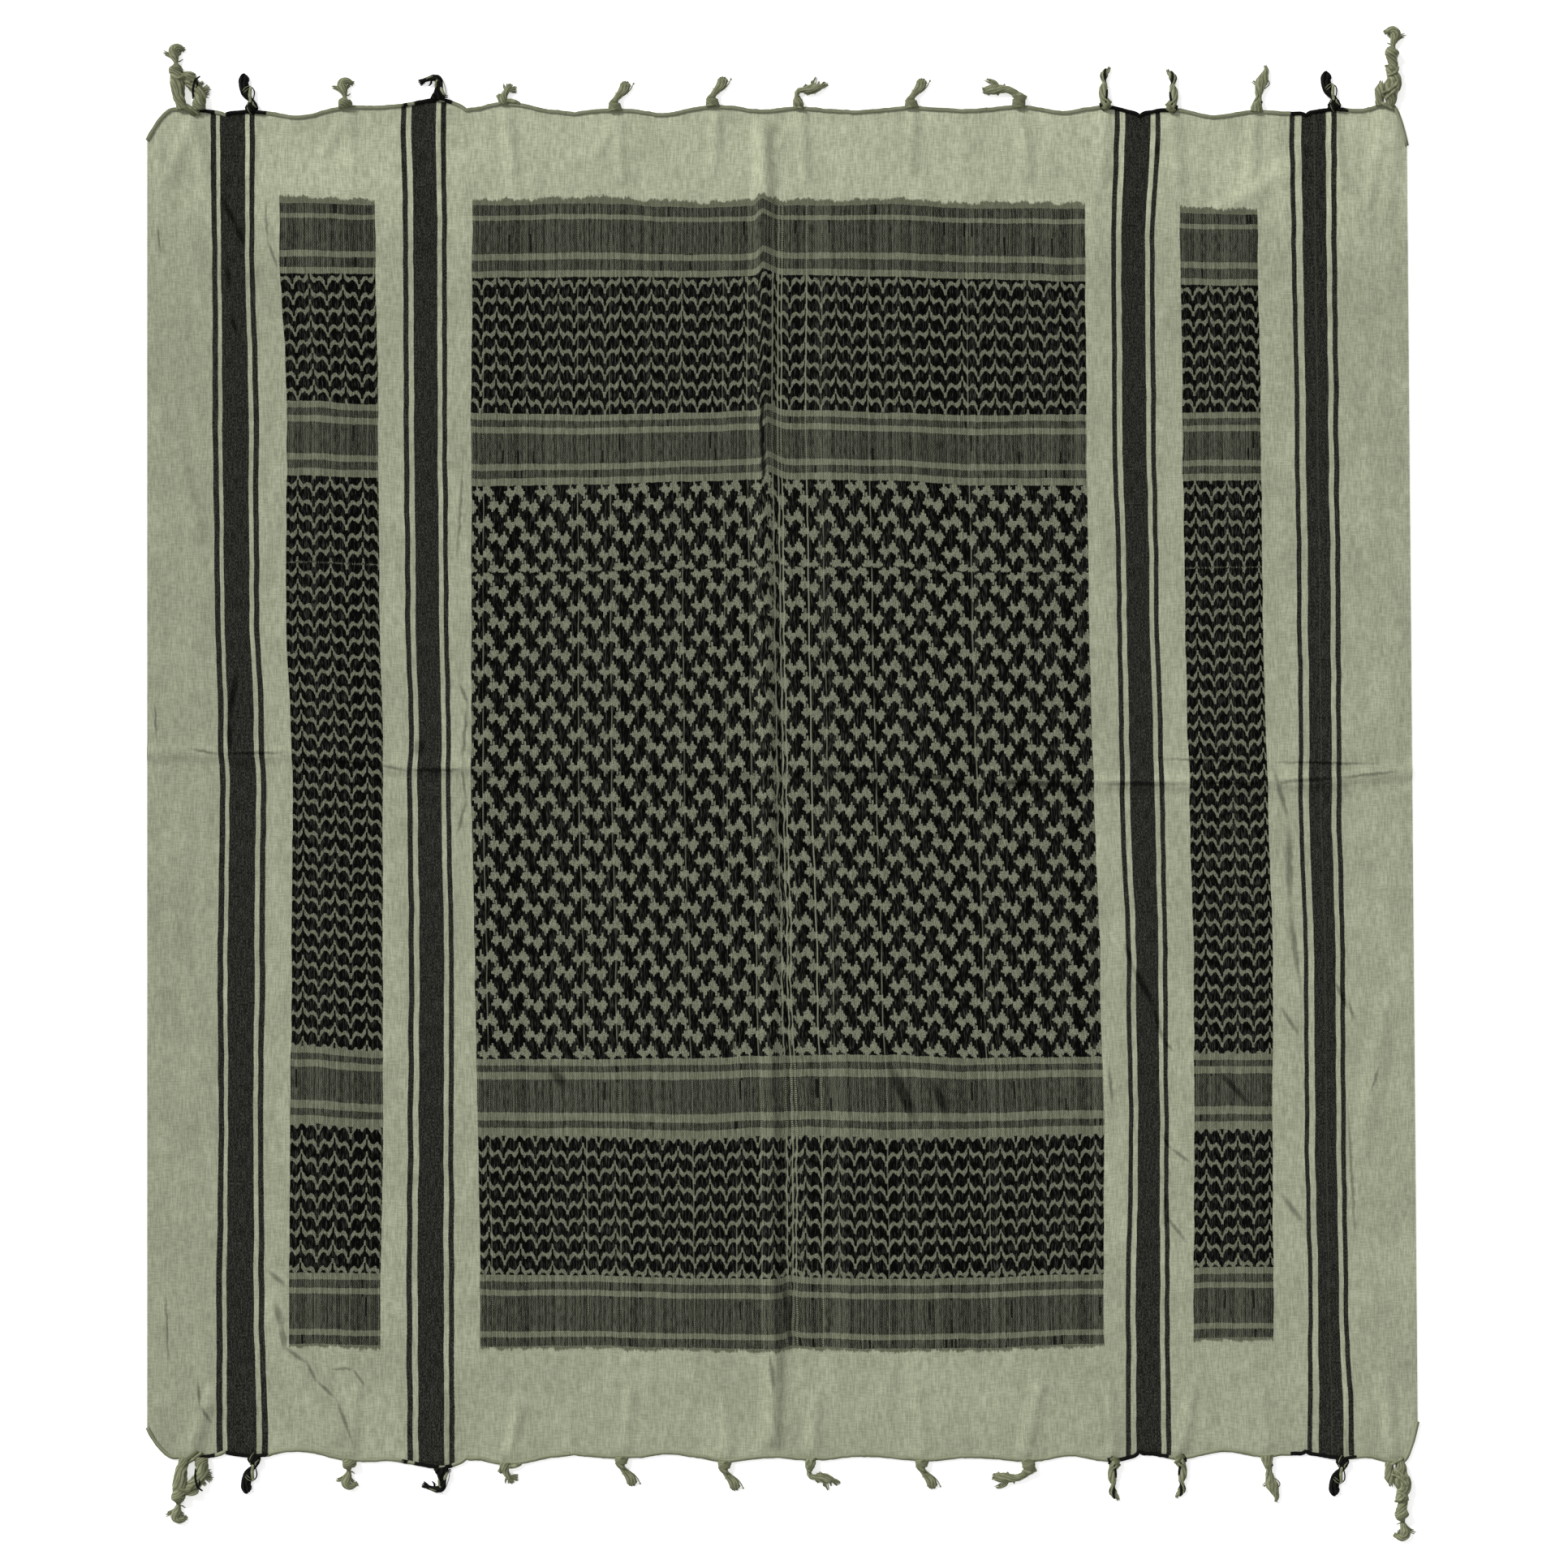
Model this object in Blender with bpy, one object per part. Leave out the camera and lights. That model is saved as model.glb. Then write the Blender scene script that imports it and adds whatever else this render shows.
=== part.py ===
"""A square woven headscarf laid out flat: one cloth, a rolled hem along each cut end, and
fifteen knotted tassels on each hem. Lengths are in millimetres until a mesh is made.
Across is +X, along is +Y and up is +Z; the scarf lies on the plane z = 0.
"""

import math

import bmesh
import bpy
from mathutils import Vector

MM = 0.001

WIDTH_AT_BOTTOM = 1043.4
WIDTH_AT_TOP = 1034.6
WALL = 1.2
HEM_RADIUS = 1.5
SEAM_GAP = 0.3

HEM_SIDES = 6
TRUNK_SIDES = 5
LOCK_SIDES = 3
LOCK_ROOT_RADIUS = 1.2
LOCK_TIP_RADIUS = 0.7
LOCK_CLEARANCE = 0.35
LOCK_LIFT = 0.9
SHORT_LOCK = 6.0
LOCK_SETTLES = 1.6
LOCK_SPREAD = 0.3
LOCK_RANKS = 3
LOCK_RISE = 0.12

TRUNK_LIFT = 0.05
TRUNK_TURN = 0.25
KNOT_SEAT = 5.0

# A cut corner: how far it reaches across and along, and how sharply it turns
CORNER_LEFT = {"reach": 22.0, "drop": 25.0, "power": 1.7}
CORNER_RIGHT = {"reach": 13.0, "drop": 33.0, "power": 1.8}
CORNER_STEPS = (1.0, 0.62, 0.3)

# Columns between two knots, as shares of the way, and those in the gap that holds the fold
BETWEEN = (1 / 3, 2 / 3)
BETWEEN_AT_FOLD = (0.45, 0.56, 0.68)
FOLD_GAP = 6

ROW_SPACING = 62.0
ROWS_AT_HEM = (0.0, 14.0, 36.0)
ROWS_AT_FOLD = (-14.0, -5.0, 5.0, 14.0, 24.0)
HEM_FADE = 18.0
FOLD_POWER = 0.8

# Knots: kind, mirrored (-1) or not, across at the top hem, across at the bottom hem,
# the hem's reach from the middle at the knot, the hem's sag on the way to the next knot
KNOTS = (
    ("corner_loop", 1, -486.7, -484.7, 555.0, 1.5),
    ("leaf", 1, -435.3, -433.3, 553.0, 6.0),
    ("curl", 1, -358.7, -355.3, 556.3, 2.5),
    ("hook", 1, -282.0, -279.3, 563.3, 5.7),
    ("sprig", 1, -228.0, -226.7, 559.7, 4.3),
    ("brush", 1, -134.7, -129.3, 554.0, 4.7),
    ("brush", 1, -54.7, -44.7, 557.7, 3.0),
    ("egg", 1, 14.0, 24.0, 555.7, 3.0),
    ("brush", 1, 108.7, 117.3, 556.3, 2.7),
    ("barrel", 1, 194.7, 202.7, 557.0, 4.3),
    ("twist", 1, 264.7, 272.0, 557.0, 4.0),
    ("twist", -1, 320.0, 327.3, 555.0, 5.0),
    ("cone", 1, 388.7, 397.3, 553.0, 2.3),
    ("leaf", 1, 453.3, 460.0, 555.0, 2.5),
    ("corner_braid", 1, 494.7, 502.7, 558.3, 0.0),
)

# Folds pressed into the cloth: from across, from along, to across, to along, height, half width
FOLDS = (
    (-16.0, 540.0, -8.0, -540.0, 4.0, 11.0),
    (-522.0, 14.0, -14.0, 12.0, 3.2, 12.0),
    (-12.0, 4.0, 522.0, -2.0, 3.2, 12.0),
    (-420.0, -440.0, -366.0, -532.0, 2.4, 20.0),
    (215.0, -450.0, 262.0, -530.0, 2.0, 20.0),
    (500.0, 545.0, 497.0, 470.0, 1.8, 14.0),
    (-478.0, 480.0, -440.0, 425.0, 1.8, 20.0),
)

# Trunks of the tassels, from the hem outwards: across, out, half width, half height
TRUNKS = {
    "corner_loop": (
        (
            (-8.0, 0.0, 4.3, 3.2),
            (-8.7, 6.7, 5.0, 3.8),
            (-10.0, 14.7, 5.6, 4.2),
            (-8.9, 22.0, 6.5, 4.4),
            (-9.6, 28.0, 6.0, 4.2),
            (-11.2, 31.2, 4.6, 4.0),
            (-11.3, 33.2, 5.6, 4.8),
            (-11.3, 35.6, 3.8, 3.6),
            (-11.3, 37.5, 2.0, 2.0),
            (-11.4, 39.7, 2.2, 2.0),
        ),
        (
            (8.0, 0.0, 4.3, 3.2),
            (9.3, 5.5, 4.7, 3.6),
            (10.7, 12.0, 5.3, 4.0),
            (8.6, 18.6, 5.2, 4.0),
            (2.6, 23.0, 4.4, 3.8),
            (-6.0, 24.6, 3.8, 3.4),
        ),
    ),
    "leaf": (
        (
            (0.0, 0.0, 4.5, 2.6),
            (0.0, 4.0, 4.4, 3.2),
            (-1.3, 8.0, 2.2, 2.2),
            (-4.0, 14.0, 4.0, 1.8),
            (-6.3, 21.0, 4.8, 1.6),
            (-6.5, 26.5, 4.9, 1.5),
            (-5.5, 29.8, 3.0, 1.2),
        ),
    ),
    "curl": (
        (
            (0.0, 0.0, 4.7, 3.6),
            (0.0, 2.7, 6.0, 4.8),
            (0.0, 5.6, 5.2, 4.4),
            (-0.6, 8.6, 2.2, 2.2),
            (-0.9, 11.2, 2.2, 2.0),
        ),
    ),
    "hook": (
        (
            (0.0, 0.0, 5.3, 2.8),
            (0.7, 4.7, 4.8, 3.2),
            (-0.3, 10.7, 3.3, 2.8),
            (-0.7, 15.3, 3.3, 2.5),
            (-4.0, 18.0, 2.7, 2.3),
            (-9.3, 17.3, 2.0, 1.9),
            (-12.5, 16.0, 1.6, 1.6),
        ),
    ),
    "sprig": (
        (
            (0.0, 0.0, 4.0, 2.6),
            (0.0, 3.3, 3.5, 2.9),
            (0.7, 6.5, 2.8, 2.4),
        ),
    ),
    "brush": (
        (
            (-1.0, 0.0, 5.0, 2.9),
            (-1.8, 3.0, 4.7, 3.2),
            (-2.6, 5.6, 3.2, 2.6),
            (0.5, 9.0, 2.6, 1.9),
        ),
    ),
    "egg": (
        (
            (0.7, 0.0, 3.6, 2.8),
            (-0.7, 4.0, 4.3, 3.6),
            (-1.4, 7.6, 3.2, 2.9),
            (-1.0, 10.2, 2.2, 2.2),
            (1.2, 13.2, 2.4, 2.2),
            (5.2, 15.0, 3.0, 2.3),
            (10.7, 15.4, 3.8, 2.3),
        ),
    ),
    "barrel": (
        (
            (0.0, 0.0, 5.2, 3.2),
            (0.5, 4.0, 4.9, 3.6),
            (0.2, 7.2, 4.4, 3.2),
            (-2.2, 10.4, 2.9, 2.7),
            (-5.6, 13.0, 2.8, 2.6),
            (-10.5, 14.3, 2.9, 2.5),
            (-17.0, 13.8, 3.4, 2.3),
        ),
    ),
    "twist": (
        (
            (-0.7, 0.0, 4.0, 3.0),
            (-0.5, 3.3, 3.8, 3.2),
            (-2.0, 8.0, 3.0, 2.7),
            (-2.7, 13.3, 3.3, 2.5),
            (-1.6, 18.5, 2.7, 2.3),
            (-0.8, 22.7, 2.1, 2.1),
            (-2.0, 27.3, 2.8, 2.1),
            (-1.2, 31.0, 2.0, 1.7),
        ),
    ),
    "cone": (
        (
            (-0.5, 0.0, 4.6, 2.8),
            (1.3, 6.0, 3.6, 3.0),
            (2.0, 11.3, 2.3, 2.3),
            (2.7, 18.0, 3.3, 2.5),
            (4.7, 24.0, 4.2, 2.5),
            (7.3, 30.0, 2.7, 2.1),
            (8.0, 34.5, 1.7, 1.6),
        ),
    ),
    "corner_braid": (
        (
            (3.5, 0.0, 3.2, 2.8),
            (5.3, 6.0, 3.9, 3.4),
            (6.2, 12.5, 5.6, 4.2),
            (6.6, 19.0, 5.6, 4.2),
            (5.0, 25.3, 4.7, 3.8),
            (4.7, 30.7, 5.0, 4.0),
            (5.2, 35.3, 4.0, 3.4),
            (4.7, 39.5, 4.6, 4.0),
            (5.0, 43.0, 6.0, 5.0),
            (5.3, 46.3, 4.0, 3.8),
            (5.9, 48.6, 1.9, 1.9),
            (6.0, 50.6, 2.2, 2.0),
        ),
        (
            (-5.6, 0.0, 3.0, 2.8),
            (-4.9, 5.3, 3.7, 3.2),
            (-2.7, 11.3, 4.5, 3.6),
            (3.4, 16.4, 3.8, 3.2),
        ),
    ),
}

# The curled fringe past a ball knot: tip across and out from its root, and bow to the left
CURL = (
    (-9.7, 5.6, -0.15),
    (-8.2, 3.0, -0.1),
    (-3.2, 11.3, 0.2),
    (2.3, 12.1, 0.3),
    (8.9, 9.3, 0.42),
    (5.8, 5.6, 0.4),
    (5.3, -0.2, 0.1),
)

# Locks: trunk, row of the trunk that the lock leaves, tip across, tip out, bow to the left
LOCKS = {
    "corner_loop": tuple((0, 9) + lock for lock in CURL)
    + (
        (1, 3, 5.8, 3.2, 0.1),
        (1, 3, 7.4, 0.2, 0.0),
    ),
    "leaf": (
        (0, 2, 1.8, 11.5, -0.12),
        (0, 2, 4.0, 9.5, -0.2),
        (0, 1, 5.6, 2.4, 0.0),
    ),
    "curl": tuple((0, 4) + lock for lock in CURL),
    "hook": (
        (0, 6, -3.4, -0.4, 0.0),
        (0, 6, -1.2, -3.2, 0.1),
        (0, 5, -1.6, -6.2, 0.2),
        (0, 2, 5.9, -4.6, -0.15),
        (0, 3, 5.6, -6.6, -0.1),
        (0, 2, -7.0, -6.6, -0.05),
    ),
    "sprig": (
        (0, 2, -5.0, 1.4, 0.1),
        (0, 2, -1.4, 6.6, 0.1),
        (0, 2, 1.0, 9.6, 0.0),
        (0, 2, 4.6, 9.4, 0.0),
        (0, 2, 7.0, 7.2, -0.05),
        (0, 2, 10.6, 4.8, -0.1),
        (0, 2, 10.8, 1.8, -0.15),
    ),
    "brush": (
        (0, 3, -0.6, 5.2, 0.05),
        (0, 3, 2.0, 10.2, 0.1),
        (0, 3, 4.2, 12.8, 0.05),
        (0, 3, 6.8, 13.2, -0.02),
        (0, 3, 9.0, 12.0, -0.06),
        (0, 3, 9.6, 9.4, -0.1),
        (0, 3, 12.5, 12.3, -0.2),
    ),
    "egg": (
        (0, 6, 0.6, 6.6, 0.0),
        (0, 6, 4.0, 9.2, 0.1),
        (0, 6, 6.4, 6.0, 0.05),
        (0, 6, 10.6, 5.0, 0.0),
        (0, 6, 14.0, 3.3, -0.08),
        (0, 6, 10.0, 0.4, -0.1),
        (0, 5, 3.0, -4.8, -0.1),
    ),
    "barrel": (
        (0, 6, -9.7, 8.9, -0.1),
        (0, 6, -11.7, 6.4, -0.05),
        (0, 6, -13.7, 0.6, 0.0),
        (0, 6, -12.6, -3.1, 0.05),
        (0, 6, -7.7, -4.9, 0.1),
        (0, 5, -6.0, -5.0, 0.1),
        (0, 2, 6.4, 0.2, 0.0),
    ),
    "twist": (
        (0, 7, 4.5, 3.9, -0.1),
        (0, 7, 1.6, 2.9, 0.0),
        (0, 5, -3.4, 3.4, -0.1),
        (0, 1, 4.4, 4.0, 0.1),
    ),
    "cone": (
        (0, 6, -0.7, 3.6, 0.0),
        (0, 4, -7.4, 1.3, -0.1),
        (0, 4, -5.6, -1.6, 0.0),
        (0, 4, 6.2, -1.0, 0.2),
        (0, 3, 6.0, 3.0, -0.2),
    ),
    "corner_braid": tuple((0, 11, -across, out, -bow) for across, out, bow in CURL)
    + (
        (1, 2, -1.6, 7.2, 0.1),
        (1, 2, -5.6, 4.2, 0.0),
        (1, 2, -5.8, -0.4, 0.0),
    ),
}

BLACK_KINDS = ("leaf", "hook")

COLOURS = {
    "cloth": (0.150, 0.158, 0.112, 1.0),
    "hem": (0.215, 0.225, 0.150, 1.0),
    "yarn_green": (0.205, 0.215, 0.140, 1.0),
    "yarn_black": (0.010, 0.010, 0.009, 1.0),
}


def material(name):
    """A dull cotton of one colour."""
    made = bpy.data.materials.new(name)
    made.use_nodes = True
    shader = made.node_tree.nodes["Principled BSDF"]
    shader.inputs["Base Color"].default_value = COLOURS[name]
    shader.inputs["Roughness"].default_value = 0.92
    shader.inputs["Metallic"].default_value = 0.0
    made.diffuse_color = COLOURS[name]
    return made


def mixed(first, last, share):
    return first + (last - first) * share


def knot_across(knot, side):
    """Where a knot sits on the top hem (side 1) or on the bottom hem (side -1)."""
    return knot[2] if side > 0 else knot[3]


def half_width(side):
    return (WIDTH_AT_TOP if side > 0 else WIDTH_AT_BOTTOM) / 2


def edges(side):
    """The selvedges' places across: the left one is straight up, the right one leans in."""
    left = -WIDTH_AT_BOTTOM / 2
    return left, left + 2 * half_width(side)


def hem_reach(across, side):
    """The hem's distance from the middle of the cloth: it sags between the knots and turns at the corners."""
    left, right = edges(side)
    first, last = KNOTS[0], KNOTS[-1]
    reach = first[4] if across < knot_across(first, side) else last[4]
    for knot, after in zip(KNOTS, KNOTS[1:]):
        start, end = knot_across(knot, side), knot_across(after, side)
        if start <= across <= end:
            share = (across - start) / (end - start)
            reach = mixed(knot[4], after[4], share) - knot[5] * math.sin(math.pi * share) ** 2
    for corner, distance in ((CORNER_LEFT, across - left), (CORNER_RIGHT, right - across)):
        share = max(0.0, 1.0 - distance / corner["reach"])
        reach -= corner["drop"] * share ** corner["power"]
    return reach


def columns(side):
    """Places across where the cloth's columns meet a hem, from selvedge to selvedge."""
    left, right = edges(side)
    places = [left + CORNER_LEFT["reach"] * (1.0 - step) for step in CORNER_STEPS]
    for number, (knot, after) in enumerate(zip(KNOTS, KNOTS[1:])):
        start, end = knot_across(knot, side), knot_across(after, side)
        places.append(start)
        shares = BETWEEN_AT_FOLD if number == FOLD_GAP else BETWEEN
        places.extend(mixed(start, end, share) for share in shares)
    places.append(knot_across(KNOTS[-1], side))
    places.extend(right - CORNER_RIGHT["reach"] * (1.0 - step) for step in reversed(CORNER_STEPS))
    return places


def hem_points(side):
    """The hem's centre line, a point on each column."""
    inset = HEM_RADIUS
    return [Vector((across, side * (hem_reach(across, side) - inset))) for across in columns(side)]


def outward_normals(points, side):
    """The direction away from the cloth at each point of a hem's centre line."""
    normals = []
    for number in range(len(points)):
        before = points[max(number - 1, 0)]
        after = points[min(number + 1, len(points) - 1)]
        run = (after - before).normalized()
        normals.append(Vector((-run.y, run.x)) * side)
    return normals


def fold_height(across, along, hem_distance):
    """How far the folds lift the cloth off the floor at one place."""
    height = 0.0
    place = Vector((across, along))
    for x_from, y_from, x_to, y_to, rise, half in FOLDS:
        start, end = Vector((x_from, y_from)), Vector((x_to, y_to))
        run = end - start
        share = min(max((place - start).dot(run) / run.length_squared, 0.0), 1.0)
        distance = (place - start - run * share).length / half
        if distance < 1.0:
            height = max(height, rise * (1.0 - distance) ** FOLD_POWER)
    return height * min(1.0, hem_distance / HEM_FADE)


def cloth_rows(length):
    """Distances along from the bottom hem where the cloth's rows lie."""
    rows = set(ROWS_AT_HEM) | {length - row for row in ROWS_AT_HEM}
    rows |= {length / 2 + row for row in ROWS_AT_FOLD}
    for half_start, half_end in (
        (ROWS_AT_HEM[-1], length / 2 + ROWS_AT_FOLD[0]),
        (length / 2 + ROWS_AT_FOLD[-1], length - ROWS_AT_HEM[-1]),
    ):
        steps = round((half_end - half_start) / ROW_SPACING)
        rows |= {mixed(half_start, half_end, step / steps) for step in range(1, steps)}
    return sorted(rows)


def new_object(name, mesh_builder, slot):
    """An object whose mesh is filled by mesh_builder, with its faces turned outwards."""
    mesh = bpy.data.meshes.new(name)
    shape = bmesh.new()
    mesh_builder(shape)
    bmesh.ops.recalc_face_normals(shape, faces=shape.faces)
    bmesh.ops.scale(shape, vec=(MM, MM, MM), verts=shape.verts)
    shape.to_mesh(mesh)
    shape.free()
    mesh.materials.append(slot)
    made = bpy.data.objects.new(name, mesh)
    bpy.context.collection.objects.link(made)
    return made


def bridge(shape, rings, closed_ends=True):
    """A tube through rings of equally many corners."""
    for first, second in zip(rings, rings[1:]):
        sides = len(first)
        for side in range(sides):
            after = (side + 1) % sides
            shape.faces.new((first[side], first[after], second[after], second[side]))
    if closed_ends:
        shape.faces.new(rings[0])
        shape.faces.new(rings[-1])


def cloth_wall(shape):
    """The cloth: a thin wall on a grid whose columns run from knot to knot."""
    rims = {}
    for side in (-1, 1):
        points = hem_points(side)
        step = HEM_RADIUS + SEAM_GAP
        rims[side] = [point - normal * step for point, normal in zip(points, outward_normals(points, side))]
    length = 2 * KNOTS[0][4]
    rows = [row / length for row in cloth_rows(length)]
    under, over = [], []
    for share in rows:
        low, high = [], []
        for bottom, top in zip(rims[-1], rims[1]):
            place = bottom.lerp(top, share)
            hem_distance = min(share, 1.0 - share) * length
            height = fold_height(place.x, place.y, hem_distance)
            low.append(shape.verts.new((place.x, place.y, height)))
            high.append(shape.verts.new((place.x, place.y, height + WALL)))
        under.append(low)
        over.append(high)
    for layer in (under, over):
        for first, second in zip(layer, layer[1:]):
            for number in range(len(first) - 1):
                shape.faces.new((first[number], first[number + 1], second[number + 1], second[number]))
    outline = [(0, number) for number in range(len(under[0]))]
    outline += [(row, -1) for row in range(1, len(rows))]
    outline += [(-1, -2 - number) for number in range(len(under[0]) - 1)]
    outline += [(-2 - row, 0) for row in range(len(rows) - 2)]
    for (row, column), (next_row, next_column) in zip(outline, outline[1:] + outline[:1]):
        shape.faces.new(
            (
                under[row][column],
                under[next_row][next_column],
                over[next_row][next_column],
                over[row][column],
            )
        )


def hem_tube(side):
    """A rolled hem: a thin tube along one cut end of the cloth."""

    def build(shape):
        points = hem_points(side)
        rings = []
        for point, normal in zip(points, outward_normals(points, side)):
            ring = []
            for number in range(HEM_SIDES):
                turn = 2 * math.pi * (number + 0.5) / HEM_SIDES
                place = point + normal * (HEM_RADIUS * math.cos(turn))
                ring.append(shape.verts.new((place.x, place.y, HEM_RADIUS * (1.0 + math.sin(turn)))))
            rings.append(ring)
        bridge(shape, rings)

    return build


def trunk_place(knot, side, across, out):
    """A trunk's point in the scarf's frame. Out 0 is just clear of the hem."""
    x = knot_across(knot, side) + knot[1] * across
    if out > 0.0:
        return Vector((x, side * (knot[4] + out)))
    span = [x + KNOT_SEAT * share for share in (-1.0, -0.5, 0.0, 0.5, 1.0)]
    return Vector((x, side * (max(hem_reach(place, side) for place in span) + SEAM_GAP)))


def trunk_body(knot, side, rows):
    """One trunk of a tassel: a lumpy tube that lies on the floor, widest at its knots."""

    def build(shape):
        centres = [trunk_place(knot, side, across, out) for across, out, _, _ in rows]
        rings = []
        for number, (_, _, wide, high) in enumerate(rows):
            before = centres[max(number - 1, 0)]
            after = centres[min(number + 1, len(rows) - 1)]
            run = (after - before).normalized() if number else Vector((0.0, float(side)))
            across = Vector((run.y, -run.x))
            ring = []
            for corner in range(TRUNK_SIDES):
                turn = 2 * math.pi * (corner + TRUNK_TURN) / TRUNK_SIDES
                place = centres[number] + across * (wide * math.cos(turn))
                ring.append(shape.verts.new((place.x, place.y, high * (1.0 + math.sin(turn)) + TRUNK_LIFT)))
            rings.append(ring)
        bridge(shape, rings)

    return build


def locks_body(knot, side, kind):
    """The tassel's loose locks, each a thin tube with three sides that tapers to its tip."""

    def build(shape):
        for number, (trunk, row, tip_across, tip_out, bow) in enumerate(LOCKS[kind]):
            across, out, wide, high = TRUNKS[kind][trunk][row]
            rank = number % LOCK_RANKS
            root = trunk_place(knot, side, across + LOCK_SPREAD * wide * (rank - 1), out)
            tip = trunk_place(knot, side, across + tip_across, out + tip_out)
            run = tip - root
            left = Vector((-run.y, run.x)) * (side * knot[1])
            control = (root + tip) / 2 + left * (2 * bow)
            height = LOCK_ROOT_RADIUS + LOCK_CLEARANCE + LOCK_LIFT * rank
            steps = 2 if run.length < SHORT_LOCK else 3
            rings = []
            for step in range(steps + 1):
                share = step / steps
                place = root.lerp(control, share).lerp(control.lerp(tip, share), share)
                along = (control - root).lerp(tip - control, share).normalized()
                beside = Vector((along.y, -along.x))
                radius = mixed(LOCK_ROOT_RADIUS, LOCK_TIP_RADIUS, share)
                middle = mixed(high * (1.0 + LOCK_RISE * (rank - 1)), height, min(1.0, LOCK_SETTLES * share))
                ring = []
                for corner in range(LOCK_SIDES):
                    turn = 2 * math.pi * (corner / LOCK_SIDES) + math.pi / 2
                    spot = place + beside * (radius * math.cos(turn))
                    ring.append(shape.verts.new((spot.x, spot.y, middle + radius * math.sin(turn))))
                rings.append(ring)
            bridge(shape, rings)

    return build


def join(whole, addition):
    """Fuses an addition into a piece, and keeps the addition only as the Boolean's operand."""
    union = whole.modifiers.new("join", "BOOLEAN")
    union.operation = "UNION"
    union.solver = "EXACT"
    union.use_self = True
    union.object = addition
    addition.hide_render = True
    addition.display_type = "WIRE"


def tassel(name, knot, side, slot):
    """A tassel: its trunks and its locks, fused at their roots."""
    kind = knot[0]
    trunks = TRUNKS[kind]
    whole = new_object(name, trunk_body(knot, side, trunks[0]), slot)
    for rows in trunks[1:]:
        join(whole, new_object(name + ".leg", trunk_body(knot, side, rows), slot))
    join(whole, new_object(name + ".locks", locks_body(knot, side, kind), slot))
    return whole


def centre_on_origin(pieces):
    """Moves the scarf so that the middle of its whole outline lies over the origin."""
    places = [vertex.co for piece in pieces for vertex in piece.data.vertices]
    middle_x = (min(place.x for place in places) + max(place.x for place in places)) / 2
    middle_y = (min(place.y for place in places) + max(place.y for place in places)) / 2
    for piece in pieces:
        piece.location = (-middle_x, -middle_y, 0.0)


def build_scarf():
    for old in list(bpy.data.objects):
        bpy.data.objects.remove(old, do_unlink=True)
    slots = {name: material(name) for name in COLOURS}
    new_object("cloth", cloth_wall, slots["cloth"])
    for side, end in ((1, "top"), (-1, "bottom")):
        new_object("hem_" + end, hem_tube(side), slots["hem"])
        for number, knot in enumerate(KNOTS, start=1):
            slot = slots["yarn_black" if knot[0] in BLACK_KINDS else "yarn_green"]
            tassel(f"tassel_{end}_{number:02d}", knot, side, slot)
    centre_on_origin([piece for piece in bpy.data.objects if piece.type == "MESH"])


build_scarf()
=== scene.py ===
"""A square woven headscarf laid flat on a pale floor, seen from straight above.
The cloth, its two rolled hems and its thirty knotted tassels are made here in millimetres
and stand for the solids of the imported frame. Across is +X, along is +Y and up is +Z.
"""

import math
import random

import bmesh
import bpy
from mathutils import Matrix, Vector, noise


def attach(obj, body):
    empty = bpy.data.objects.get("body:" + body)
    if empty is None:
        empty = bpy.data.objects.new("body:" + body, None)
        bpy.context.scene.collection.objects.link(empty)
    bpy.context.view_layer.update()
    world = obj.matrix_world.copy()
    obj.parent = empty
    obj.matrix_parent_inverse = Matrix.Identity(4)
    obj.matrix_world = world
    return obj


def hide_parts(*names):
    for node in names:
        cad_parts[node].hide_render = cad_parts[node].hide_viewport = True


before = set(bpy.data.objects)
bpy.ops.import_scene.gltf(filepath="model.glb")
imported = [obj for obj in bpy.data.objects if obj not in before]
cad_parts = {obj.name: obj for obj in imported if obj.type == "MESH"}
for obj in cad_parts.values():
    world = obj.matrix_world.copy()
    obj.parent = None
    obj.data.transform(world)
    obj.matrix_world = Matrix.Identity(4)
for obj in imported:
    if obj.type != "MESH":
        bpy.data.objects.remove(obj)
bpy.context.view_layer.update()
bpy.ops.object.select_all(action="DESELECT")

MM = 0.001

# The cloth's outline, as the solids have it
WIDTH_AT_BOTTOM = 1043.4
WIDTH_AT_TOP = 1034.6
HEM_RADIUS = 1.5
HEM_STEP = 1.3
HEM_CORNERS = 10
CORNER_LEFT = {"reach": 22.0, "drop": 25.0, "power": 1.7}
CORNER_RIGHT = {"reach": 13.0, "drop": 33.0, "power": 1.8}

# Knots: kind, mirrored (-1) or not, across at the top hem, across at the bottom hem,
# the hem's reach from the middle at the knot, the hem's sag on the way to the next knot
KNOTS = (
    ("corner_loop", 1, -486.7, -484.7, 555.0, 1.5),
    ("leaf", 1, -435.3, -433.3, 553.0, 6.0),
    ("curl", 1, -358.7, -355.3, 556.3, 2.5),
    ("hook", 1, -282.0, -279.3, 563.3, 5.7),
    ("sprig", 1, -228.0, -226.7, 559.7, 4.3),
    ("brush", 1, -134.7, -129.3, 554.0, 4.7),
    ("brush", 1, -54.7, -44.7, 557.7, 3.0),
    ("egg", 1, 14.0, 24.0, 555.7, 3.0),
    ("brush", 1, 108.7, 117.3, 556.3, 2.7),
    ("barrel", 1, 194.7, 202.7, 557.0, 4.3),
    ("twist", 1, 264.7, 272.0, 557.0, 4.0),
    ("twist", -1, 320.0, 327.3, 555.0, 5.0),
    ("cone", 1, 388.7, 397.3, 553.0, 2.3),
    ("leaf", 1, 453.3, 460.0, 555.0, 2.5),
    ("corner_braid", 1, 494.7, 502.7, 558.3, 0.0),
)

# The cloth's length between its two corner knots
LENGTH = 2 * KNOTS[0][4]

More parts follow.
